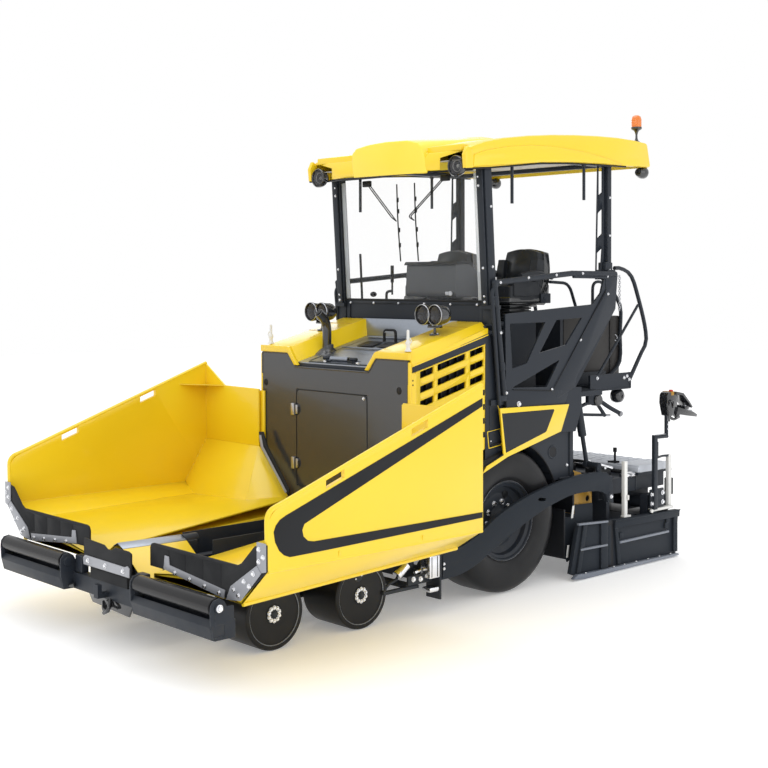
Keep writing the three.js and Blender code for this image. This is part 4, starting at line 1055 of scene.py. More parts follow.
def makeFrontTrim():
    outline = [(0.858, 1.8655), (0.52, 1.8655), (0.5, 1.857), (0.39, 1.722), (0.434, 1.722),
        (0.514, 1.815), (0.858, 1.815)]
    trim = frontSlab(outline, -0.984, -0.03, 0.005)
    donePair(trim, "front_trim", "yellowPaint")
    hemPath = [(-0.843, -1.003, 1.64), (-0.843, -1.003, 1.812), (-0.511, -1.003, 1.812),
        (-0.432, -1.003, 1.708), (0.432, -1.003, 1.708), (0.511, -1.003, 1.812),
        (0.843, -1.003, 1.812), (0.843, -1.003, 1.64)]
    hem = tube(hemPath, 0.0075, corner=0.02)
    done(hem, "panel_hem", "panelPaint")
    ports = ((-0.798, 1.569), (0.756, 1.593))
    # black discs stand for the cable ports: painted shade inside the holes
    holes = [rod((x, -1.0062, z), (x, -0.99, z), 0.019, 32) for x, z in ports]
    grommets = [spun([(0.019, -0.002), (0.024, -0.0025), (0.027, 0.0), (0.027, 0.004)],
        (x, -1.005, z), axis="y", steps=32) for x, z in ports]
    done(weld(*holes), "panel_holes", "blackPaintAndShade")
    done(weld(*grommets), "panel_grommets", "rubber")
    seam = tube([(0.412, -1.0045, 1.2), (0.412, -1.0045, 1.536), (-0.412, -1.0045, 1.536),
        (-0.412, -1.0045, 0.79), (0.412, -1.0045, 0.79), (0.412, -1.0045, 1.2)], 0.0048,
        corner=0.045)
    done(seam, "door_seam", "blackPaintAndShade")
    done(bolts([(0.376, -1.0052, 1.512)], 0.009, (0, -1, 0)), "door_bolt", "bright", "door")
    fixed = [block((-0.462, -1.024, z - 0.046), (-0.421, -1.004, z + 0.046), 0.003)
        for z in (1.38, 0.96)]
    moving = [block((-0.41, -1.0215, z - 0.036), (-0.384, -1.0045, z + 0.036), 0.003)
        for z in (1.38, 0.96)]
    done(weld(*fixed), "door_hinge_plates", "steel")
    done(weld(*moving), "door_hinge_flaps", "steel", "door")


def makeLamps():
    lamp = {
        "x": 0.65, "y": -0.56, "z": 2.125, "gap": 0.066,
        "shell": [(0.0, 0.094), (0.026, 0.091), (0.05, 0.078), (0.066, 0.054),
            (0.074, 0.02), (0.077, -0.03), (0.0775, -0.046), (0.073, -0.052),
            (0.069, -0.046), (0.067, -0.036)],
        "glass": [(0.068, -0.038), (0.045, -0.046), (0.0, -0.05)],
        "ring": [(0.0705, -0.047), (0.0735, -0.0535), (0.077, -0.049)],
        "bowl": [(0.064, -0.034), (0.04, -0.012), (0.014, 0.0), (0.0, 0.002)]
    }
    made = {}
    for key, smooth in (("shell", 60), ("glass", 80), ("ring", 80), ("bowl", 80)):
        made[key] = [spun(lamp[key], (lamp["x"] + side * lamp["gap"], lamp["y"], lamp["z"]),
            axis="y", steps=40, smooth=smooth) for side in (-1, 1)]  # one each way
    donePair(weld(*made["shell"]), "lamp_shell", "glossBlack", standsFor="work_lamp")
    donePair(weld(*made["glass"]), "lamp_glass", "lamp")
    donePair(weld(*made["ring"]), "lamp_ring", "steel")
    donePair(weld(*made["bowl"]), "lamp_bowl", "glossBlack")
    x, y, z = lamp["x"], lamp["y"], lamp["z"]
    foot = [rod((x, y + 0.02, hoodHeight(y) - 0.004), (x, y + 0.02, hoodHeight(y) + 0.01),
        0.042, 32),
        rod((x, y + 0.02, hoodHeight(y)), (x, y + 0.02, z - 0.055), 0.011, 20),
        block((x - 0.06, y - 0.002, z - 0.098), (x + 0.06, y + 0.042, z - 0.084)),
        block((x - 0.06, y + 0.002, z - 0.098), (x - 0.048, y + 0.038, z - 0.04)),
        block((x + 0.048, y + 0.002, z - 0.098), (x + 0.06, y + 0.038, z - 0.04))]
    donePair(weld(*foot), "lamp_foot", "glossBlack")
    donePair(bolts([(x + 0.028, y + 0.02, hoodHeight(y) + 0.01),
        (x - 0.028, y + 0.02, hoodHeight(y) + 0.01)], 0.006, (0, 0, 1)), "lamp_foot_bolt",
        "bright")


def makeExhaust():
    x, y = -0.395, -0.706
    z = hoodHeight(y) - 0.11
    pipe = tube([(x, y, z - 0.02), (x, y, z + 0.185), (x, y - 0.028, z + 0.255),
        (x, y - 0.085, z + 0.3)], 0.036, corner=0.1, rings=8)
    bore = rod((x, y - 0.05, z + 0.274), (x, y - 0.14, z + 0.345), 0.031, 32)
    pipe = cutOut(pipe, bore)
    collar = spun([(0.037, 0.05), (0.045, 0.046), (0.046, 0.02), (0.09, -0.01),
        (0.135, -0.045), (0.15, -0.08)], (x, y + 0.01, z), axis="z", steps=48, smooth=60)
    done(pipe, "exhaust_bend", "glossBlack", standsFor="exhaust_pipe")
    done(collar, "exhaust_collar", "panelPaint")


def makeMarkerPins():
    x, y = 0.797, -0.955
    z = hoodHeight(y)
    foot = spun([(0.0, 0.0), (0.024, 0.0), (0.024, 0.006), (0.016, 0.016), (0.013, 0.04),
        (0.019, 0.052), (0.019, 0.066), (0.011, 0.082), (0.0095, 0.15), (0.0, 0.158)],
        (x, y, z), axis="z", steps=28, smooth=45)
    ear = tube([(x + 0.018, y, z + 0.058), (x + 0.04, y, z + 0.07),
        (x + 0.018, y, z + 0.1)], 0.003, corner=0.02)
    donePair(weld(foot, ear), "marker_pin", "white")


makeHoodSides()
makeHoodTop()
makeHoodWell()
makeLidDetails()
makeHoodSideMarks()
makeFrontTrim()
makeLamps()
makeExhaust()
makeMarkerPins()
print("hood made")

# operator's platform and body sides
platform = {
    "plate": 0.903, "skirt": 0.916, "body": 0.87, "tube": 0.9,
    "diagonal": [(1.166, 2.34), (1.16, 2.423), (1.318, 2.423), (1.286, 2.132), (0.79, 1.6),
        (0.775, 1.528), (0.7, 1.5), (0.56, 1.45), (0.496, 1.524), (1.166, 2.274)],
    "apron": [(-0.03, 1.382), (0.622, 1.352), (0.7, 1.5), (0.5, 1.516), (0.035, 1.546),
        (-0.03, 1.546)],
    "skirtEdge": [(-0.312, 0.946), (-0.034, 1.046), (0.588, 1.188), (0.688, 1.396),
        (-0.118, 1.418), (-0.078, 1.062), (-0.265, 0.998)],
    "skirtFill": [(-0.1, 1.378), (0.497, 1.37), (0.505, 1.36), (0.413, 1.206), (0.4, 1.197),
        (-0.056, 1.078)],
    "bolts": [(-0.116, 2.362), (0.2, 2.397), (0.528, 2.417), (0.852, 2.43), (-0.112, 1.985),
        (-0.05, 1.53)],
    "plateBolts": [(1.185, 2.405), (1.195, 2.262), (0.842, 1.9), (0.491, 1.524)],
}


def makeSideFrames():
    face = platform["plate"]
    diagonal = sideSlab(platform["diagonal"], face - 0.001, 0.005, 0.0015)
    apron = sideSlab(platform["apron"], face - 0.001, 0.0045, 0.0015)
    donePair(weld(diagonal, apron), "frame_overlay", "darkPaint")
    x = platform["tube"]
    inner = tube([(x - 0.004, -0.105, 1.44), (x - 0.004, -0.186, 2.3),
        (x - 0.004, -0.12, 2.352)], 0.016, corner=0.05, rings=4)
    sleeve = tube([(x, 0.76, 2.404), (x, 1.18, 2.398)], 0.013)
    joints = [ball((x, -0.16, 2.36), 0.0235), ball((x, 0.74, 2.43), 0.0225),
        rod((x, -0.152, 2.26), (x, -0.146, 2.18), 0.026, 20),
        rod((x, -0.084, 1.76), (x, -0.078, 1.7), 0.026, 20),
        block((0.868, -0.112, 1.466), (0.914, -0.036, 1.512), 0.006)]
    donePair(weld(inner, sleeve, *joints), "frame_tubes", "darkPaint")
    heads = bolts([(x + 0.021, y, z) for y, z in platform["bolts"]], 0.0085, (1, 0, 0))
    plateHeads = bolts([(face + 0.004, y, z) for y, z in platform["plateBolts"]], 0.0085,
        (1, 0, 0))
    big = bolts([(face + 0.0035, 0.101, 1.436)], 0.016, (1, 0, 0))
    donePair(weld(heads, plateHeads, big), "frame_bolts", "bright")
    # a thin black line along the edges of the overlay plates: painted shadow line at their
    # fold
    fold = tube([(face + 0.004, 1.172, 2.3), (face + 0.004, 0.5, 1.512),
        (face + 0.004, 0.04, 1.548)], 0.004, corner=0.03)
    donePair(fold, "frame_fold_shadow_line", "blackPaintAndShade")
    braces = [tube([(0.6, -0.12, z), (0.6, 0.33, z)], 0.02, rings=4) for z in (1.97, 2.035)]
    treads = [block((0.4, y, 1.482), (0.84, y + 0.018, 1.5), 0.003) for y in (-0.1, -0.04,
        0.02, 0.08, 0.14, 0.2, 0.26, 0.32, 0.38, 0.44)]
    donePair(weld(*braces, *treads), "floor_fittings", "darkPaint")


def makeSkirts():
    face = platform["skirt"]
    edge = sideSlab(platform["skirtEdge"], face - 0.01, 0.013, 0.001)
    fill = sideSlab(platform["skirtFill"], face + 0.0026, 0.0012, 0)
    donePair(edge, "skirt_border", "yellowPaint")
    donePair(fill, "skirt_panel", "stripeGrey")


def makeBodySides():
    face = platform["body"]
    lip = tube([(face - 0.004, y, z) for y, z in arch(-0.18, 0.585, 26)], 0.01, corner=0.02)
    donePair(lip, "arch_lip", "blackPaintAndShade")
    ring = spun([(0.04, 0.0), (0.044, 0.004), (0.052, 0.004), (0.055, 0.0), (0.055, -0.004),
        (0.04, -0.004)], (face + 0.001, 0.542, 1.026), steps=40)
    # a black disc stands for the hole inside the ring: painted shade inside it
    hole = spun([(0.0, 0.0015), (0.041, 0.0015), (0.041, -0.002), (0.0, -0.002)],
        (face + 0.001, 0.542, 1.026), steps=40)
    donePair(ring, "body_hole_ring", "darkPaint")
    donePair(hole, "body_hole", "blackPaintAndShade")
    flange = [block((face - 0.002, 0.742, 0.802), (face + 0.01, 0.786, 1.372), 0.003),
        tube([(face + 0.002, 0.618, 0.808), (face + 0.002, 0.742, 0.808)], 0.008)]
    donePair(weld(*flange), "body_flange", "darkPaint")
    heads = bolts([(face + 0.003, 0.712, 0.907)], 0.009, (1, 0, 0))
    donePair(heads, "body_bolts", "bright")
    liner = []
    spots = arch(-0.178, 0.588, 18)
    for (y0, z0), (y1, z1) in zip(spots, spots[1:]):
        liner.append(sideSlab([(y0, z0), (y1, z1), (y1 * 1.006, z1 * 1.004),
            (y0 * 1.006, z0 * 1.004)], 0.515, 0.34, 0))
    donePair(weld(*liner), "arch_liner", "blackPaintAndShade")


def makeCabinet():
    # the cabinet's brown-black finish is painted shade with a painted reflection of the
    # yellow body
    side = [sideSlab([(1.16, 1.5), (1.77, 1.5), (1.77, 2.054), (1.16, 2.054)], 0.462, 0.008,
        0.003),
        block((0.4, 1.79, 1.5), (0.478, 1.906, 2.06), 0.006),
        block((0.464, 1.78, 1.505), (0.474, 1.79, 2.05), 0)]
    donePair(weld(*side), "cabinet_side", "shadedBrownBlack")
    lid = block((-0.47, 1.13, 2.048), (0.47, 1.905, 2.062), 0.005)
    done(lid, "cabinet_lid", "shadedBrownBlack")
    latch = tube([(0.48, 1.84, 1.9), (0.484, 1.87, 1.88), (0.484, 1.86, 1.84),
        (0.48, 1.835, 1.85)], 0.005, corner=0.02)
    donePair(latch, "cabinet_latch", "steel")
    doors = [block((x, 1.901, 1.52), (x + 0.45, 1.908, 2.04), 0.004) for x in (-0.46, 0.01)]
    knobs = [rod((x, 1.906, 1.78), (x, 1.922, 1.78), 0.014, 20) for x in (-0.045, 0.045)]
    done(weld(*doors), "cabinet_doors", "shadedBrownBlack")
    done(weld(*knobs), "cabinet_knobs", "steel")


def makeRearSteps():
    heads = [(0.761, 1.24, 1.562), (0.761, 1.64, 1.56), (0.761, 1.672, 1.53),
        (0.761, 1.6, 1.548)]
    donePair(bolts(heads, 0.011, (1, 0, 0)), "step_bolts", "bright")
    slats = [block((0.5, y, 1.48), (0.74, y + 0.022, 1.492), 0.003) for y in (1.22, 1.28,
        1.34, 1.4, 1.46, 1.52, 1.58, 1.64)]
    fold = [block((0.735, 1.158, 1.452), (0.766, 1.692, 1.464), 0.004),
        block((0.735, 1.684, 1.458), (0.766, 1.697, 1.592), 0.004)]
    donePair(weld(*slats, *fold), "step_slats", "darkPaint")
    horn = spun([(0.0, 0.055), (0.035, 0.052), (0.055, 0.035), (0.062, 0.0), (0.058, -0.03),
        (0.03, -0.045), (0.0, -0.045)], (0.69, 1.6, 1.392), steps=40, smooth=60)
    drum = spun([(0.0, 0.04), (0.04, 0.04), (0.05, 0.03), (0.05, -0.03), (0.04, -0.04),
        (0.0, -0.04)], (0.7, 1.3, 1.375), steps=40, smooth=40)
    donePair(weld(horn, drum), "step_drums", "glossBlack")
    arms = [tube([(0.7, 1.29, 1.37), (0.7, 1.42, 1.235)], 0.016),
        tube([(0.7, 1.31, 1.385), (0.7, 1.48, 1.3), (0.7, 1.61, 1.246)], 0.018,
        corner=0.05),
        tube([(0.7, 1.12, 1.265), (0.7, 1.42, 1.24)], 0.013),
        tube([(0.7, 1.08, 1.33), (0.7, 1.29, 1.38)], 0.015),
        block((0.68, 1.18, 1.34), (0.72, 1.33, 1.456), 0.01)]
    donePair(weld(*arms), "ladder_arms", "darkPaint")
    tips = [rod((0.69, 1.41, 1.238), (0.69, 1.5, 1.232), 0.01, 16),
        spun([(0.0, 0.014), (0.02, 0.014), (0.026, 0.0), (0.02, -0.014), (0.0, -0.014)],
        (0.7, 1.63, 1.236), steps=28),
        rod((0.684, 1.295, 1.385), (0.722, 1.295, 1.385), 0.018, 20)]
    donePair(weld(*tips), "ladder_tips", "steel")
    links = []
    for i in range(17):
        letGo()
        bpy.ops.mesh.primitive_torus_add(major_segments=14, minor_segments=6,
            major_radius=0.0085, minor_radius=0.0026,
            location=place(0.905, 1.35, 2.405 - i * 0.017))
        link = bpy.context.active_object
        link.rotation_euler = (0, math.pi / 2, (i % 2) * math.pi / 2 + 0.4)
        link.scale = (1.25, 1, 1)
        links.append(soften(settle(link), 0, smooth=60))
    eye = rod((0.902, 1.318, 2.408), (0.908, 1.352, 2.408), 0.005, 12)
    donePair(weld(eye, *links), "entry_chain", "steel")


makeSideFrames()
makeSkirts()
makeBodySides()
makeCabinet()
makeRearSteps()
print("platform made")

# canopy
canopy = {
    "half": 0.9, "sheet": 0.022,
    "outer": [(-0.47, 3.196), (-0.19, 3.218), (0.08, 3.248), (0.369, 3.281), (0.7, 3.3),
        (1.076, 3.31), (1.45, 3.314), (1.79, 3.322), (1.764, 3.428), (1.74, 3.526),
        (1.56, 3.54), (1.34, 3.546), (1.08, 3.542), (0.8, 3.53), (0.52, 3.512),
        (0.24, 3.486), (-0.04, 3.45), (-0.24, 3.412), (-0.38, 3.372), (-0.45, 3.336),
        (-0.476, 3.29), (-0.48, 3.24)],
    "inner": [(-0.455, 3.1), (1.764, 3.1), (1.74, 3.44), (1.72, 3.504), (1.34, 3.524),
        (0.8, 3.508), (0.24, 3.464), (-0.24, 3.39), (-0.42, 3.33), (-0.455, 3.29)],
    "ceiling": [(-0.45, 3.262), (-0.19, 3.285), (0.369, 3.345), (1.076, 3.372),
        (1.745, 3.386), (1.745, 3.392), (1.076, 3.378), (0.369, 3.351), (-0.19, 3.291),
        (-0.45, 3.268)],
    "crease": [(-0.395, 3.212), (0.08, 3.256), (0.369, 3.286), (0.7, 3.306), (1.076, 3.318),
        (1.4, 3.322), (1.18, 3.366), (0.9, 3.4), (0.52, 3.42), (0.24, 3.412),
        (-0.025, 3.384), (-0.25, 3.344), (-0.385, 3.304)],
    "nose": [(-0.33, 3.192), (-0.35, 3.32), (-0.346, 3.385), (-0.3, 3.424), (-0.15, 3.444),
        (0.05, 3.452), (0.28, 3.446), (0.405, 3.424), (0.445, 3.385), (0.48, 3.3),
        (0.505, 3.182)],
    "cap": [(-0.47, 3.198), (-0.392, 3.204), (-0.384, 3.29), (-0.402, 3.335),
        (-0.448, 3.362), (-0.48, 3.3)],
}


def makeCanopy():
    half, sheet = canopy["half"], canopy["sheet"]
    shell = sideSlab(canopy["outer"], -half, 2 * half, 0.022)
    hollow = sideSlab(canopy["inner"], -half + sheet, 2 * (half - sheet), 0)
    corners = [slab([(side * 0.46, -0.6, 3.05), (side * 1.0, -0.6, 3.05),
        (side * 1.0, -0.386, 3.05), (side * 0.46, -0.486, 3.05)], (0, 0, 0.6), 0)
        for side in (1, -1)]
    shell = soften(cutOut(shell, hollow, *corners), 0.004, 2, 50)
    done(shell, "canopy_shell", "yellowPaint", standsFor="canopy")
    ceiling = sideSlab(canopy["ceiling"], -half + sheet, 2 * (half - sheet), 0.001)
    done(ceiling, "canopy_ceiling", "beigePaint")
    swell = sideSlab(canopy["crease"], half - 0.01, 0.022, 0.011)
    cap = sideSlab(canopy["cap"], half - 0.03, 0.036, 0.005)
    donePair(swell, "canopy_swell", "yellowPaint")
    donePair(cap, "canopy_cap", "yellowPaint")
    nose = slab([(x, -0.484, z) for x, z in canopy["nose"]], (0, 0.86, 0.088), 0.014, 3)
    done(nose, "canopy_nose", "paleYellow")
    step = [block((0.47, -0.44, 3.335), (0.83, -0.3, 3.384), 0.01, 3),
        block((-0.83, -0.44, 3.33), (-0.36, -0.3, 3.384), 0.01, 3)]
    done(weld(*step), "canopy_steps", "yellowPaint")
    lip = tube([(-0.88, -0.372, 3.194), (-0.46, -0.472, 3.192), (0.46, -0.472, 3.192),
        (0.88, -0.372, 3.194)], 0.008, corner=0.06)
    done(lip, "canopy_front_lip", "blackPaintAndShade")
    seal = [tube([(side * 0.888, y, z - 0.002) for y, z in canopy["outer"][:7]], 0.007,
        corner=0.05) for side in (1, -1)]
    done(weld(*seal), "canopy_side_seal", "blackPaintAndShade")


def makeCanopyLamps():
    for label, x, y, z, radius in (("front", 0.79, -0.44, 3.222, 0.078),
            ("rear", 0.84, 1.735, 3.282, 0.052)):
        facing = -1 if label == "front" else 1
        hub = (x, y, z)
        depth = 0.055 * facing
        cup = spun([(0.0, -depth), (radius * 0.6, -depth * 0.95),
            (radius * 0.9, -depth * 0.4), (radius, 0.0), (radius, depth * 0.45),
            (radius * 0.93, depth * 0.6), (radius * 0.86, depth * 0.5),
            (radius * 0.83, depth * 0.2)], hub, axis="y", steps=48, smooth=50)
        bowl = spun([(radius * 0.84, depth * 0.25), (radius * 0.55, -depth * 0.3),
            (radius * 0.2, -depth * 0.5), (0.0, -depth * 0.5)], hub, axis="y", steps=40,
            smooth=80)
        glass = spun([(radius * 0.85, depth * 0.4), (radius * 0.5, depth * 0.52),
            (0.0, depth * 0.56)], hub, axis="y", steps=40, smooth=80)
        bulb = ball((x, y - facing * 0.01, z), radius * 0.2)
        ring = spun([(radius * 0.5, depth * 0.1), (radius * 0.54, depth * 0.2),
            (radius * 0.58, depth * 0.1)], hub, axis="y", steps=32, smooth=80)
        donePair(cup, f"{label}_lamp_cup", "glossBlack")
        donePair(bowl, f"{label}_lamp_bowl", "glossBlack")
        donePair(weld(bulb, ring), f"{label}_lamp_bulb", "white")
        donePair(glass, f"{label}_lamp_glass", "lamp")


def makeBeacon():
    x, y = 0.795, 1.722
    low = 3.533
    foot = spun([(0.0, 0.0), (0.034, 0.0), (0.034, 0.008), (0.017, 0.02), (0.01, 0.04),
        (0.009, 0.07), (0.014, 0.09), (0.022, 0.104), (0.038, 0.112), (0.046, 0.12),
        (0.046, 0.134), (0.0, 0.134)], (x, y, low), axis="z", steps=40, smooth=40)
    dome = spun([(0.042, 0.134), (0.043, 0.15), (0.042, 0.2), (0.036, 0.222), (0.02, 0.233),
        (0.0, 0.236)], (x, y, low), axis="z", steps=40, smooth=60)
    ribs = [spun([(0.0425, z), (0.0445, z + 0.004), (0.0425, z + 0.008)], (x, y, low),
        axis="z", steps=40) for z in (0.15, 0.17, 0.19)]
    done(foot, "beacon_foot", "glossBlack")
    done(weld(dome, *ribs), "beacon_dome", "amber", standsFor="beacon")


def makeWipers():
    plane = -0.232
    arms, blades = [], []
    for x0, x1, blade in ((-0.445, -0.141, -0.104), (0.455, 0.05, 0.1)):
        for shift in (-0.012, 0.012):
            arms.append(tube([(x0 + shift, plane, 3.175), (x1 + shift, plane + 0.004, 2.88),
                (blade, plane + 0.01, 2.85)], 0.0045, corner=0.04))
        arms.append(block((x0 - 0.05, plane - 0.01, 3.14), (x0 + 0.04, plane + 0.02, 3.19),
            0.008))
        blades.append(tube([(blade, plane + 0.014, 3.145),
            (blade + 0.004, plane + 0.02, 2.85), (blade + 0.01, plane + 0.046, 2.53)],
            0.0055, corner=0.3))
        for z in (3.02, 2.93, 2.78, 2.66):
            drop = (3.145 - z) / 0.615 * 0.04
            blades.append(block((blade - 0.008, plane + 0.008 + drop, z - 0.018),
                (blade + 0.012, plane + 0.018 + drop, z + 0.018), 0.002))
    done(weld(*arms), "wiper_arms", "blackPaintAndShade")
    done(weld(*blades), "wiper_blades", "rubber")


def makePosts():
    # front posts are box tubes; the rear ones carry a pierced plate in front of the tube
    front = slab([(0.79, -0.178, 2.19), (0.872, -0.178, 2.19), (0.872, -0.102, 2.19),
        (0.79, -0.102, 2.19)], (0, -0.065, 1.14), 0.006)
    channel = slab([(0.8, -0.196, 2.19), (0.86, -0.196, 2.19), (0.86, -0.184, 2.19),
        (0.8, -0.184, 2.19)], (0, -0.065, 1.05), 0.003)
    tubeRear = slab([(0.8, 1.238, 2.4), (0.87, 1.238, 2.4), (0.87, 1.288, 2.4),
        (0.8, 1.288, 2.4)], (0, 0, 0.93), 0.006)
    foot = block((0.788, -0.168, 2.05), (0.886, -0.106, 2.2), 0.006)
    plate = sideSlab([(1.125, 2.38), (1.245, 2.38), (1.245, 3.33), (1.15, 3.33)], 0.826,
        0.008, 0.001)
    holes = [((1.163, 3.295), (1.218, 3.298), (1.21, 3.095), (1.163, 3.066)),
        ((1.153, 2.922), (1.214, 2.965), (1.209, 2.756), (1.147, 2.714)), ((1.143, 2.597),
        (1.208, 2.639), (1.19, 2.469), (1.139, 2.44))]
    holes = [sideSlab(hole, 0.8, 0.06, 0.008) for hole in holes]
    plate = cutOut(plate, *holes)
    collar = block((0.795, 1.205, 2.38), (0.875, 1.296, 2.52), 0.006)
    rails = block((0.786, -0.235, 3.302), (0.874, 1.29, 3.338), 0.005)
    donePair(weld(front, foot, channel, tubeRear, rails, collar), "roof_post", "darkPaint",
        standsFor="roof_frame")
    donePair(plate, "post_plate", "darkPaint")
    ties = [block((-0.8, y - 0.024, 3.302), (0.8, y + 0.024, 3.338), 0.004)
        for y in (-0.2, 1.25)]
    done(weld(*ties), "roof_ties", "darkPaint")
    hung = [rod((0.868, y, top), (0.868, y, low), 0.0125, 16)
        for y, top, low in ((0.07, 3.3, 2.96), (0.93, 3.35, 3.018))]
    pads = [rod((0.868, y, top), (0.868, y, top - 0.06), 0.02, 20)
        for y, top in ((0.07, 3.3), (0.93, 3.35))]
    donePair(weld(*hung, *pads), "hanging_rod", "darkPaint")
    clamp = [block((0.806, -0.25, 3.05), (0.846, -0.226, 3.2), 0.006),
        block((0.8, -0.246, 3.11), (0.832, -0.226, 3.15), 0.006)]
    donePair(weld(*clamp), "post_clamp", "blackPaintAndShade")
    heads = [(0.82, -0.252, 3.15), (0.82, -0.25, 3.085), (0.832, -0.212, 2.47),
        (0.832, -0.198, 2.26), (0.832, -0.196, 2.215)]
    donePair(bolts(heads, 0.008, (0, -1, 0)), "post_bolt", "bright")
    sideHeads = [(0.872, -0.168, 2.93), (0.872, -0.15, 2.48), (0.872, 1.262, 3.05),
        (0.872, 1.262, 2.74), (0.872, 1.258, 2.46)]
    donePair(bolts(sideHeads, 0.008, (1, 0, 0)), "post_side_bolt", "bright")


def makeFrontWall():
    frameParts = [block((-0.785, -0.162, 2.19), (0.785, -0.146, 2.225), 0.004),
        block((-0.785, -0.162, 1.985), (0.785, -0.146, 2.0), 0.004),
        block((-0.785, -0.16, 2.0), (-0.745, -0.148, 2.19), 0.004),
        block((0.745, -0.16, 2.0), (0.785, -0.148, 2.19), 0.004)]
    done(weld(*frameParts), "front_wall_frame", "darkPaint")
    heads = [(x, -0.162, 2.194) for x in (-0.731, -0.444, -0.149, 0.15, 0.44, 0.722)]
    done(bolts(heads, 0.0075, (0, -1, 0)), "front_wall_bolts", "bright")
    low, high = (-0.16, 2.22), (-0.214, 3.188)
    strips = []
    for x0, x1 in ((-0.783, -0.735), (0.735, 0.783)):
        strips.append(slab([(x0, low[0], low[1]), (x1, low[0], low[1]),
            (x1, low[0] - 0.001, low[1]), (x0, low[0] - 0.001, low[1])],
            (0, high[0] - low[0], high[1] - low[1]), 0))
    done(weld(*strips), "windscreen_edges", "frosted")
    gasket = [tube([(side * 0.786, low[0] + 0.004, low[1]),
        (side * 0.786, high[0] + 0.004, high[1])], 0.007) for side in (-1, 1)]
    sill = tube([(-0.786, low[0], low[1]), (0.786, low[0], low[1])], 0.009)
    done(weld(sill, *gasket), "windscreen_gasket", "rubber")


def makeConsole():
    body = sideSlab([(-0.098, 2.245), (-0.112, 2.3), (-0.098, 2.5), (-0.06, 2.518),
        (0.02, 2.518), (0.12, 2.47), (0.23, 2.405), (0.235, 2.245)], -0.12, 0.56, 0.01)
    lid = sideSlab([(-0.118, 2.498), (-0.1, 2.526), (0.02, 2.528), (0.035, 2.512),
        (0.02, 2.508), (-0.08, 2.506)], -0.132, 0.584, 0.004)
    stand = block((0.08, -0.06, 1.482), (0.2, 0.06, 2.25), 0.008)
    done(weld(body, stand), "console_body", "greyPlastic", standsFor="console")
    done(lid, "console_lid", "blackPaintAndShade")
    keys = [block((x, 0.135, 2.452), (x + 0.03, 0.165, 2.462), 0.004)
        for x in (-0.06, 0.02, 0.1, 0.26, 0.34)]
    screen = slab([(-0.04, 0.04, 2.515), (0.2, 0.04, 2.515), (0.2, 0.11, 2.48),
        (-0.04, 0.11, 2.48)], (0, 0.002, 0.004), 0.001)
    done(weld(screen, *keys), "console_keys", "blackPaintAndShade")
    dials = [rod((0.395, -0.112, 2.275), (0.395, -0.122, 2.275), 0.02, 24),
        block((0.34, -0.121, 2.262), (0.372, -0.111, 2.29), 0.004)]
    done(weld(*dials), "console_fittings", "steel")
    levers = [tube([(-0.4, -0.06, 2.2), (-0.4, -0.06, 2.285), (-0.33, -0.06, 2.292)], 0.011,
        corner=0.03),
        tube([(-0.33, -0.06, 2.26), (-0.33, -0.06, 2.5)], 0.008),
        rod((-0.33, -0.06, 2.36), (-0.33, -0.06, 2.5), 0.014, 16),
        tube([(-0.7, -0.06, 2.18), (-0.69, -0.09, 2.6)], 0.01)]
    knob = ball((-0.56, -0.06, 2.262), 0.028, (1, 1, 0.8))
    done(weld(knob, *levers), "front_levers", "blackPaintAndShade")


def padShape(low, high, swell, smoothing=8):
    # a stuffed block: faces pushed out in the middle, edges drawn in
    piece = block(low, high, 0)
    pick(piece)
    for kind, settings in (("SUBSURF", {"subdivision_type": "SIMPLE", "levels": 5}),
            ("CAST", {"factor": swell}), ("SMOOTH",
            {"factor": 0.5, "iterations": smoothing})):
        step = piece.modifiers.new(kind.lower(), kind)
        for key, value in settings.items():
            setattr(step, key, value)
        if kind == "CAST":
            step.use_transform = False
        bpy.ops.object.modifier_apply(modifier=step.name)
    return soften(piece, 0, smooth=60)


def padAt(low, high, swell, tilt=0.0):
    # made about the origin, so that the swelling is even, and then set in place
    middle = [(a + b) / 2 for a, b in zip(low, high)]
    half = [(b - a) / 2 for a, b in zip(low, high)]
    piece = padShape((-half[0], -axleY - half[1], -half[2]),
        (half[0], -axleY + half[1], half[2]), swell)
    piece.rotation_euler = (tilt, 0, 0)
    piece.location = place(*middle)
    return settle(piece)


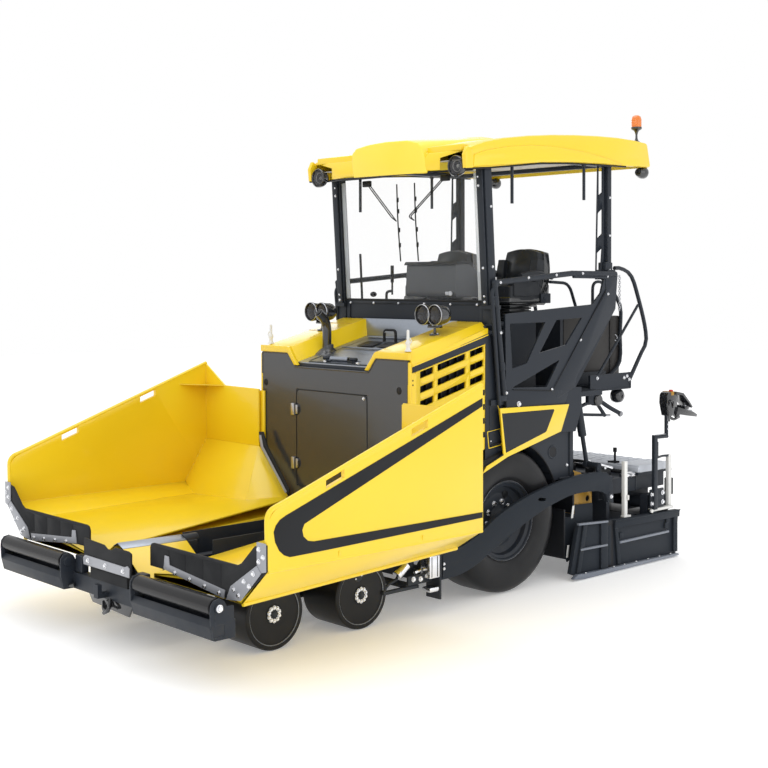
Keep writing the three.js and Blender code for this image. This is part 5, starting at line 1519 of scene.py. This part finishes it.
def makeSeats():
    x, y = 0.4, 0.56
    lean = math.radians(-8)
    cushion = padAt((x - 0.215, y - 0.225, 2.215), (x + 0.215, y + 0.17, 2.335), 0.16)
    back = padAt((x - 0.186, y + 0.13, 2.3), (x + 0.186, y + 0.215, 2.62), 0.4, lean)
    bolster = [padAt((x + side * 0.185 - 0.035, y - 0.19, 2.25),
        (x + side * 0.185 + 0.035, y + 0.12, 2.365), 0.12) for side in (1, -1)]
    wings = [padAt((x + side * 0.18 - 0.035, y + 0.085, 2.33),
        (x + side * 0.18 + 0.035, y + 0.17, 2.545), 0.14, lean) for side in (1, -1)]
    for name, pads in (("seat_cushion", weld(cushion, *bolster)),
            ("seat_backrest", weld(back, *wings))):
        for made in donePair(pads, name, "vinyl", "seat"):
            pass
    shell = sideSlab([(y - 0.235, 2.19), (y + 0.2, 2.175), (y + 0.245, 2.25),
        (y + 0.25, 2.34), (y + 0.215, 2.35), (y + 0.17, 2.235), (y - 0.225, 2.245)],
        x - 0.212, 0.424, 0.012)
    base = [block((x - 0.11, y - 0.12, 2.046), (x + 0.11, y + 0.12, 2.18), 0.01),
        block((x - 0.15, y - 0.16, 2.16), (x + 0.15, y + 0.16, 2.185), 0.006)]
    folds = [block((x - 0.122, y - 0.132, z), (x + 0.122, y + 0.132, z + 0.014), 0.006)
        for z in (2.07, 2.095, 2.12, 2.142)]
    rearShell = padAt((x - 0.2, y + 0.19, 2.2), (x + 0.2, y + 0.262, 2.632), 0.45, lean)
    donePair(weld(shell, rearShell, *base), "seat_shell", "glossBlack", "seat", "seat")
    donePair(weld(*folds), "seat_bellows", "rubber", "seat")
    rests = [tube([(x + side * 0.25, y + 0.235, 2.4), (x + side * 0.25, y + 0.03, 2.44),
        (x + side * 0.25, y - 0.15, 2.41)], 0.022, corner=0.1) for side in (1, -1)]
    donePair(weld(*rests), "seat_armrest", "vinyl", "seat")
    seams = [tube([(x + side * 0.15, y - 0.23, 2.276), (x + side * 0.15, y - 0.2, 2.339),
        (x + side * 0.15, y + 0.11, 2.341)], 0.003, corner=0.03) for side in (-1, 1)]
    donePair(weld(*seams), "seat_seam", "rubber", "seat")
    springs = [rod((x + 0.222, y + 0.18, 2.23), (x + 0.232, y + 0.18, 2.23), 0.024, 24),
        block((x + 0.212, y + 0.13, 2.19), (x + 0.226, y + 0.25, 2.27), 0.006)]
    donePair(weld(*springs), "seat_fittings", "darkPaint", "seat")
    guard = tube([(0.64, 1.12, 2.13), (0.64, 1.02, 2.35), (0.64, 0.78, 2.362)], 0.013,
        corner=0.08)
    loop = tube([(0.64, 1.33, 2.15), (0.64, 1.33, 2.36), (0.64, 1.48, 2.362),
        (0.64, 1.48, 2.05)], 0.013, corner=0.07)
    donePair(weld(loop, guard), "grab_rail", "darkPaint")


makeCanopy()
makeCanopyLamps()
makeBeacon()
makeWipers()
makePosts()
makeFrontWall()
makeConsole()
makeSeats()
print("canopy and seats made")

# tow arms
towArm = {
    "inner": 0.93, "sheet": 0.04,
    "top": [(-0.796, 0.428), (-0.74, 0.442), (-0.66, 0.446), (-0.568, 0.452),
        (-0.395, 0.517), (-0.219, 0.612), (-0.038, 0.68), (0.195, 0.745), (0.459, 0.795),
        (0.733, 0.826), (0.98, 0.83), (1.105, 0.815)],
    "tail": [(1.15, 0.78), (1.18, 0.706), (1.19, 0.56), (1.12, 0.572)],
    "under": [(1.096, 0.64), (1.017, 0.672), (0.86, 0.686), (0.683, 0.684), (0.533, 0.66),
        (0.338, 0.612), (0.101, 0.528), (-0.129, 0.434), (-0.263, 0.376), (-0.395, 0.308),
        (-0.568, 0.256), (-0.7, 0.242), (-0.796, 0.24)],
    "slot": (0.268, 0.334, 0.69, 0.013),
}


def smoothLine(points, steps=4):
    # a curve through the points
    made = []
    ends = [points[0], *points, points[-1]]
    for a, b, c, d in zip(ends, ends[1:], ends[2:], ends[3:]):
        for step in range(steps):
            t = step / steps
            made.append(tuple(0.5 * (2 * q + (r - p) * t + (2 * p - 5 * q + 4 * r - s)
                * t ** 2 + (3 * q - p - 3 * r + s) * t ** 3)
                for p, q, r, s in zip(a, b, c, d)))
    made.append(points[-1])
    return made


def makeTowArms():
    x, sheet = towArm["inner"], towArm["sheet"]
    outline = [*smoothLine(towArm["top"]), *towArm["tail"], *smoothLine(towArm["under"])]
    arm = sideSlab(outline, x, sheet, 0.003)
    y0, y1, z, radius = towArm["slot"]
    slot = [(y1 + radius * math.sin(a), z - 0.004 + radius * math.cos(a))
        for a in [math.pi * i / 8 for i in range(9)]]
    slot += [(y0 - radius * math.sin(a), z + 0.004 - radius * math.cos(a))
        for a in [math.pi * i / 8 for i in range(9)]]
    arm = cutOut(arm, sideSlab(slot, x - 0.02, sheet + 0.04, 0))
    arm = soften(arm, 0, smooth=30)
    frontEnd = block((x, -0.8, 0.25), (x + sheet, -0.78, 0.42), 0.003)
    hangers = [block((0.8505, 1.15, 0.58), (x + 0.01, 1.19, 0.7), 0.003),
        block((x, 1.005, 0.78), (x + 0.02, 1.055, 0.88), 0.003),
        rod((0.842, 1.03, 0.875), (x + 0.022, 1.03, 0.875), 0.025, 24)]
    donePair(weld(arm, frontEnd, *hangers), "tow_arm_plate", "armPaint", "screed",
        "tow_arm")
    eye = spun([(0.0, 0.046), (0.026, 0.046), (0.034, 0.042), (0.036, 0.03)],
        (x + 0.002, 1.15, 0.615), steps=32)
    donePair(eye, "arm_eye", "darkPaint", "screed")
    donePair(bolts([(x + 0.046, 1.15, 0.615)], 0.012, (1, 0, 0)), "arm_eye_bolt", "bright",
        "screed")


def makeTowPoint():
    column = block((0.9, -0.935, 0.272), (0.994, -0.836, 0.43), 0.004)
    shoe = block((0.905, -0.93, 0.172), (0.99, -0.836, 0.205), 0.008)
    donePair(weld(column, shoe), "tow_slide", "bright")
    grooves = [block((0.9935, y, 0.28), (0.9955, y + 0.007, 0.426), 0.001)
        for y in (-0.918, -0.862)]
    rail = [block((0.85, -0.834, 0.11), (0.994, -0.818, 0.452), 0.003),
        block((0.905, -1.08, 0.232), (0.926, -0.842, 0.3), 0.006),
        block((0.88, -1.3, 0.2), (0.912, -0.96, 0.226), 0.006),
        block((0.6, -1.08, 0.21), (0.905, -1.04, 0.25), 0.004),
        tube([(0.9, -1.3, 0.215), (0.88, -1.24, 0.262), (0.88, -1.1, 0.3)], 0.012,
        corner=0.05),
        block((0.7, -1.0, 0.33), (0.86, -0.96, 0.44), 0.006)]
    donePair(weld(*grooves, *rail), "tow_bracket", "darkPaint")
    ram = [rod((0.905, -1.0, 0.312), (0.905, -0.94, 0.324), 0.012, 20),
        rod((0.905, -1.15, 0.33), (0.905, -1.075, 0.378), 0.03, 24),
        rod((0.905, -1.175, 0.318), (0.905, -1.15, 0.334), 0.034, 24)]
    donePair(weld(*ram), "tow_ram", "bright")
    hose = [tube([(0.88, -1.13, 0.36), (0.86, -1.06, 0.44), (0.82, -1.0, 0.52)], 0.016,
        corner=0.08),
        tube([(0.88, -1.1, 0.34), (0.85, -1.04, 0.4), (0.8, -0.98, 0.47)], 0.014,
        corner=0.08)]
    donePair(weld(*hose), "tow_hose", "rubber")
    heads = bolts([(0.926, -1.032, 0.275), (0.926, -0.962, 0.268)], 0.0145, (1, 0, 0))
    plateHeads = bolts([(0.971, -0.77, 0.352), (0.971, -0.77, 0.318)], 0.008, (1, 0, 0))
    donePair(heads, "tow_bolts", "bright")
    donePair(plateHeads, "tow_arm_bolts", "bright", "screed")
    hook = ball((0.9, -0.6, 0.56), 0.03, (0.8, 1, 1))
    donePair(weld(hook, rod((0.88, -0.6, 0.56), (0.92, -0.6, 0.56), 0.016, 16)),
        "wing_stop", "bright")


# wheel deflector and auger plates
def makeDeflector():
    plate = sideSlab([(0.801, 0.572), (1.065, 0.56), (1.065, 0.25), (0.74, 0.12),
        (0.719, 0.17), (0.716, 0.28), (0.65, 0.301), (0.682, 0.487), (0.785, 0.478)], 0.846,
        0.008, 0.002)
    side = block((0.832, 0.66, 0.29), (0.846, 0.7, 0.47), 0.002)
    donePair(weld(plate, side), "wheel_deflector", "armPaint")
    strips = [slab([(0.889, 0.762, 0.575), (0.889, 0.786, 0.575), (0.889, 0.768, 0.478),
        (0.889, 0.744, 0.478)], (0.004, 0, 0), 0.001),
        slab([(0.889, 0.7, 0.268), (0.889, 0.724, 0.268), (0.889, 0.708, 0.17),
        (0.889, 0.684, 0.17)], (0.004, 0, 0), 0.001)]
    donePair(weld(*strips), "deflector_strips", "white")
    plates = [sideSlab([(0.818, 0.494), (1.075, 0.494), (1.075, 0.66), (1.01, 0.74),
        (0.93, 0.82), (0.818, 0.85)], 0.828, 0.01, 0.003),
        block((0.7, 0.812, 0.5), (0.86, 0.826, 0.85), 0.003)]
    hole = rod((0.8, 1.02, 0.6), (0.86, 1.02, 0.6), 0.026, 24)
    plates[0] = cutOut(plates[0], hole)
    donePair(weld(*plates), "auger_end_plate", "ochrePaint")
    ribs = [block((0.78, 0.9, 0.64), (0.828, 1.06, 0.652), 0.003),
        tube([(0.79, 0.84, 0.8), (0.8, 0.95, 0.74), (0.8, 1.05, 0.68)], 0.014, corner=0.06)]
    donePair(weld(*ribs), "auger_plate_ribs", "blackPaintAndShade")


# screed
def makeWalkway():
    deck = [slab([(x, 1.65, 0.77), (x, 1.65, 0.79), (x, 1.7, 0.802), (x, 2.06, 0.802),
        (x, 2.1, 0.792), (x, 2.118, 0.76), (x, 2.118, 0.745), (x, 1.65, 0.745)],
        (width, 0, 0), 0.008) for x, width in ((-0.875, 0.87), (0.005, 0.87))]
    treads = [block((x, y, 0.801), (x + 0.06, y + 0.012, 0.805), 0.001)
        for x in [-0.84 + 0.105 * i for i in range(8)]
        + [0.04 + 0.105 * i for i in range(8)] for y in (1.74, 1.8, 1.86, 1.92, 1.98, 2.04)]
    done(weld(*deck, *treads), "screed_walkway", "treadGrey", "screed")
    flap = [slab([(side * 0.64, 1.66, 0.806), (side * 0.878, 1.66, 0.806),
        (side * 0.884, 1.66, 0.745), (side * 0.64, 1.66, 0.745)], (0, 0.44, -0.004), 0.012,
        3) for side in (1, -1)]
    done(weld(*flap), "walkway_ends", "treadGrey", "screed")
    rear = block((-0.88, 1.25, 0.722), (0.88, 1.3, 0.76), 0.006)
    beam = [block((-0.862, 1.262, 0.655), (0.862, 1.29, 0.735), 0.004),
        block((-0.856, 1.64, 0.596), (0.856, 1.65, 0.73), 0.004),
        tube([(-0.856, 1.65, 0.712), (0.856, 1.65, 0.712)], 0.01)]
    done(weld(rear, *beam), "screed_beams", "darkPaint", "screed")
    grip = [rod((0.6, 1.689, 0.8), (0.6, 1.689, 0.905), 0.01, 16),
        rod((0.6, 1.689, 0.895), (0.6, 1.689, 0.932), 0.017, 20),
        tube([(0.56, 1.64, 0.812), (0.64, 1.7, 0.812)], 0.01)]
    donePair(weld(*grip), "crown_handle", "blackPaintAndShade", "screed")


def makeScreedWorks():
    pipes = [tube([(-0.8, 1.4, 0.7), (0.8, 1.4, 0.7)], 0.03, rings=6),
        tube([(-0.8, 1.5, 0.78), (-0.2, 1.46, 0.79), (0.6, 1.52, 0.77), (0.8, 1.6, 0.745)],
        0.016, corner=0.1),
        tube([(0.2, 1.34, 0.82), (0.52, 1.36, 0.84), (0.74, 1.44, 0.78)], 0.014,
        corner=0.1),
        tube([(-0.6, 1.34, 0.82), (-0.2, 1.36, 0.83), (0.1, 1.44, 0.78)], 0.014,
        corner=0.1)]
    done(weld(*pipes), "screed_hoses", "rubber", "screed")
    blocks = [block((x, 1.33, 0.722), (x + 0.13, 1.45, 0.8), 0.01)
        for x in (-0.62, -0.2, 0.24, 0.56)]
    wedge = [sideSlab([(1.18, 0.745), (1.42, 0.745), (1.4, 0.79), (1.215, 0.858)], x, 0.014,
        0.003) for x in (0.69, 0.76)]
    done(weld(*blocks, *wedge), "screed_valves", "blackPaintAndShade", "screed")
    rods = [rod((side * x0, y0, z0), (side * x1, y1, z1), radius, corners)
        for side in (1, -1)
        for (x0, y0, z0), (x1, y1, z1), radius, corners in (((0.8, 1.3, 0.815),
        (0.3, 1.38, 0.822), 0.012, 16), ((0.7, 1.26, 0.85), (0.78, 1.42, 0.8), 0.013, 16),
        ((0.54, 1.4, 0.81), (0.54, 1.4, 0.845), 0.02, 20))]
    rods.append(rod((0.84, 1.47, 0.735), (0.84, 1.62, 0.735), 0.028, 24))
    done(weld(*rods), "screed_rams", "bright", "screed")
    box = block((0.8, 2.122, 0.505), (0.858, 2.178, 0.65), 0.006)
    cable = tube([(0.83, 2.13, 0.51), (0.84, 2.11, 0.47), (0.83, 2.09, 0.43)], 0.01,
        corner=0.03)
    donePair(box, "screed_box", "blackPaintAndShade", "screed")
    donePair(cable, "screed_cable", "ochrePaint", "screed")


# end gates
gate = {
    "face": 0.97, "proud": 0.02,
    "outline": [(0.647, 0.056), (0.786, 0.004), (2.04, 0.004), (2.059, 0.04),
        (2.094, 0.397), (1.205, 0.422), (1.098, 0.427), (0.747, 0.447)],
    "frontPost": [(0.79, 0.446), (0.835, 0.444), (0.748, 0.06), (0.7, 0.058)],
    "rearPost": [(1.007, 0.432), (1.094, 0.428), (1.094, 0.04), (1.007, 0.04)],
    "mainTop": [(1.19, 0.414), (2.088, 0.396), (2.082, 0.34), (1.19, 0.352)],
    "mainFront": [(1.19, 0.352), (1.226, 0.352), (1.262, 0.05), (1.225, 0.05)],
    "mainRear": [(2.0, 0.345), (2.035, 0.344), (2.04, 0.046), (2.0, 0.046)],
    "ledges": [((0.72, 0.452), (1.092, 0.43), 0.016),
        ((0.744, 0.247), (1.086, 0.24), 0.016), ((1.25, 0.238), (1.925, 0.24), 0.018)],
    "shoe": [(0.64, 0.02), (0.7, 0.052), (0.78, 0.046), (2.05, 0.028), (2.056, 0.01),
        (0.78, 0.004)],
}


def makeGates():
    face, proud = gate["face"], gate["proud"]
    sheet = sideSlab(gate["outline"], face - 0.04, 0.04, 0.003)
    plinth = block((face - 0.03, 1.7, 0.35), (face + 0.012, 1.77, 0.44), 0.004)
    donePair(weld(sheet, plinth), "gate_plate", "armPaint", "extension", "end_gate")
    frames = [sideSlab(gate[key], face - 0.002, proud + 0.002, 0.003)
        for key in ("frontPost", "rearPost", "mainTop", "mainFront", "mainRear")]
    edge = tube([(face + proud, 1.19, 0.414), (face + proud, 2.088, 0.396)], 0.006)
    strip = [block((face + 0.012, 2.022, 0.045), (face + 0.022, 2.052, 0.29), 0.003),
        block((face - 0.002, 1.11, 0.06), (face + 0.006, 1.15, 0.38), 0.002)]
    latch = [block((face, y, z), (face + 0.014, y + 0.05, z + 0.045), 0.004)
        for y, z in ((1.255, 0.262), (1.88, 0.262), (1.9, 0.3))]
    donePair(weld(edge, *frames, *strip, *latch), "gate_frame", "armPaint", "extension")
    gap = block((face - 0.001, 1.1, 0.03), (face + 0.002, 1.186, 0.42), 0)
    donePair(gap, "gate_gap", "blackPaintAndShade", "extension")
    ledges = []
    for (y0, z0), (y1, z1), depth in gate["ledges"]:
        ledges.append(slab([(face - 0.001, y0, z0), (face - 0.001, y1, z1),
            (face - 0.001, y1, z1 - depth), (face - 0.001, y0, z0 - depth)],
            (proud + 0.006, 0, 0), 0.003))
    donePair(weld(*ledges), "gate_ledges", "ledgeGrey", "extension")
    shoe = sideSlab(gate["shoe"], face - 0.002, 0.036, 0.003)
    donePair(shoe, "gate_shoe", "ledgeGrey", "extension")
    heads = [(face + 0.026, y, 0.048 - (y - 0.7) * 0.008)
        for y in (0.8, 1.16, 1.3, 1.46, 1.62, 1.78, 1.94)]
    donePair(bolts(heads, 0.007, (0, 0, 1)), "gate_shoe_bolts", "bright", "extension")


def makeStands():
    spindles = [block((0.93, y - 0.02, 0.415), (0.962, y + 0.02, top), 0.002)
        for y, top in ((1.367, 0.88), (1.981, 0.88))]
    caps = [block((0.926, 1.34, 0.41), (0.966, 1.43, 0.432), 0.003),
        block((0.93, 1.715, 0.424), (0.985, 2.0, 0.446), 0.003),
        block((0.966, 1.376, 0.56), (0.976, 1.392, 0.6), 0.002)]
    knob = rod((0.975, 1.69, 0.432), (0.992, 1.69, 0.432), 0.016, 24)
    donePair(weld(knob, *spindles, *caps), "gate_spindles", "white", "extension")
    x = 0.985
    mast = [block((x - 0.02, 1.712, 0.44), (x + 0.012, 1.758, 1.07), 0.004),
        block((x - 0.02, 1.758, 0.88), (x + 0.004, 1.78, 1.01), 0.004),
        tube([(x, 1.76, 0.876), (x - 0.03, 1.88, 0.878), (x - 0.034, 1.975, 0.872)], 0.01,
        corner=0.03),
        rod((x, 1.722, 1.052), (x, 1.905, 1.046), 0.016, 20),
        rod((x, 1.893, 1.04), (x, 1.893, 1.25), 0.017, 20),
        block((x - 0.03, 1.69, 0.45), (x - 0.012, 1.88, 0.61), 0.006)]
    donePair(weld(*mast), "control_stand", "darkPaint", "extension")
    top = [block((x - 0.018, 1.712, 1.066), (x + 0.01, 1.905, 1.07), 0.001),
        rod((x + 0.008, 1.893, 1.06), (x + 0.014, 1.893, 1.23), 0.005, 12)]
    donePair(weld(*top), "stand_slide", "steel", "extension")
    heads = bolts([(x - 0.01, y, z) for y in (1.704, 1.852) for z in (0.492, 0.57)], 0.0155,
        (1, 0, 0))
    pegs = bolts([(x + 0.017, 1.893, z) for z in (1.11, 1.15, 1.19)], 0.007, (1, 0, 0))
    donePair(weld(heads, pegs), "stand_bolts", "bright", "extension")


def makeControlBox():
    x = 0.985
    body = sideSlab([(1.845, 1.335), (1.852, 1.4), (1.87, 1.424), (1.96, 1.426),
        (2.0, 1.396), (1.99, 1.29), (1.945, 1.22), (1.88, 1.22)], x - 0.045, 0.09, 0.01)
    visor = sideSlab([(1.95, 1.427), (2.06, 1.408), (2.15, 1.33), (2.196, 1.282),
        (2.184, 1.272), (2.13, 1.322), (2.045, 1.388), (1.955, 1.405)], x - 0.06, 0.12,
        0.004)
    donePair(weld(body, visor), "control_box", "glossBlack", "extension")
    shelf = [sideSlab([(1.985, 1.292), (2.1, 1.264), (2.2, 1.24), (2.262, 1.212),
        (2.256, 1.19), (2.14, 1.206), (1.96, 1.236)], x - 0.07, 0.13, 0.004),
        block((x - 0.06, 2.08, 1.262), (x + 0.06, 2.14, 1.292), 0.006),
        tube([(x + 0.046, 1.84, 1.33), (x + 0.07, 1.83, 1.24), (x + 0.03, 1.893, 1.18)],
        0.009, corner=0.04),
        tube([(x + 0.046, 1.86, 1.3), (x + 0.062, 1.87, 1.355), (x + 0.062, 1.915, 1.355),
        (x + 0.046, 1.92, 1.29)], 0.007, corner=0.02),
        ball((x + 0.04, 1.99, 1.225), 0.024),
        ball((x - 0.01, 2.04, 1.215), 0.02),
        tube([(x, 1.893, 1.24), (x + 0.02, 1.96, 1.18), (x + 0.01, 2.06, 1.2)], 0.012,
        corner=0.04)]
    donePair(weld(*shelf), "control_shelf", "glossBlack", "extension")
    button = spun([(0.0, 0.026), (0.014, 0.024), (0.019, 0.016), (0.017, 0.008),
        (0.011, 0.0)], (x + 0.02, 1.93, 1.418), axis="z", steps=28)
    donePair(button, "stop_button", "red", "extension")
    keys = [block((x - 0.07 + 0.035 * i, 2.085, 1.292), (x - 0.052 + 0.035 * i, 2.11, 1.3),
        0.002) for i in range(4)]
    tip = block((x - 0.04, 2.15, 1.236), (x + 0.04, 2.22, 1.252), 0.004)
    donePair(weld(tip, *keys), "control_keys", "steel", "extension")
    band = block((x - 0.0465, 1.9, 1.395), (x + 0.0465, 1.94, 1.4275), 0.002)
    donePair(band, "control_plate", "ochrePaint", "extension")


makeTowArms()
makeTowPoint()
makeDeflector()
makeWalkway()
makeScreedWorks()
makeGates()
makeStands()
makeControlBox()
print("screed made")

clearPatterns()
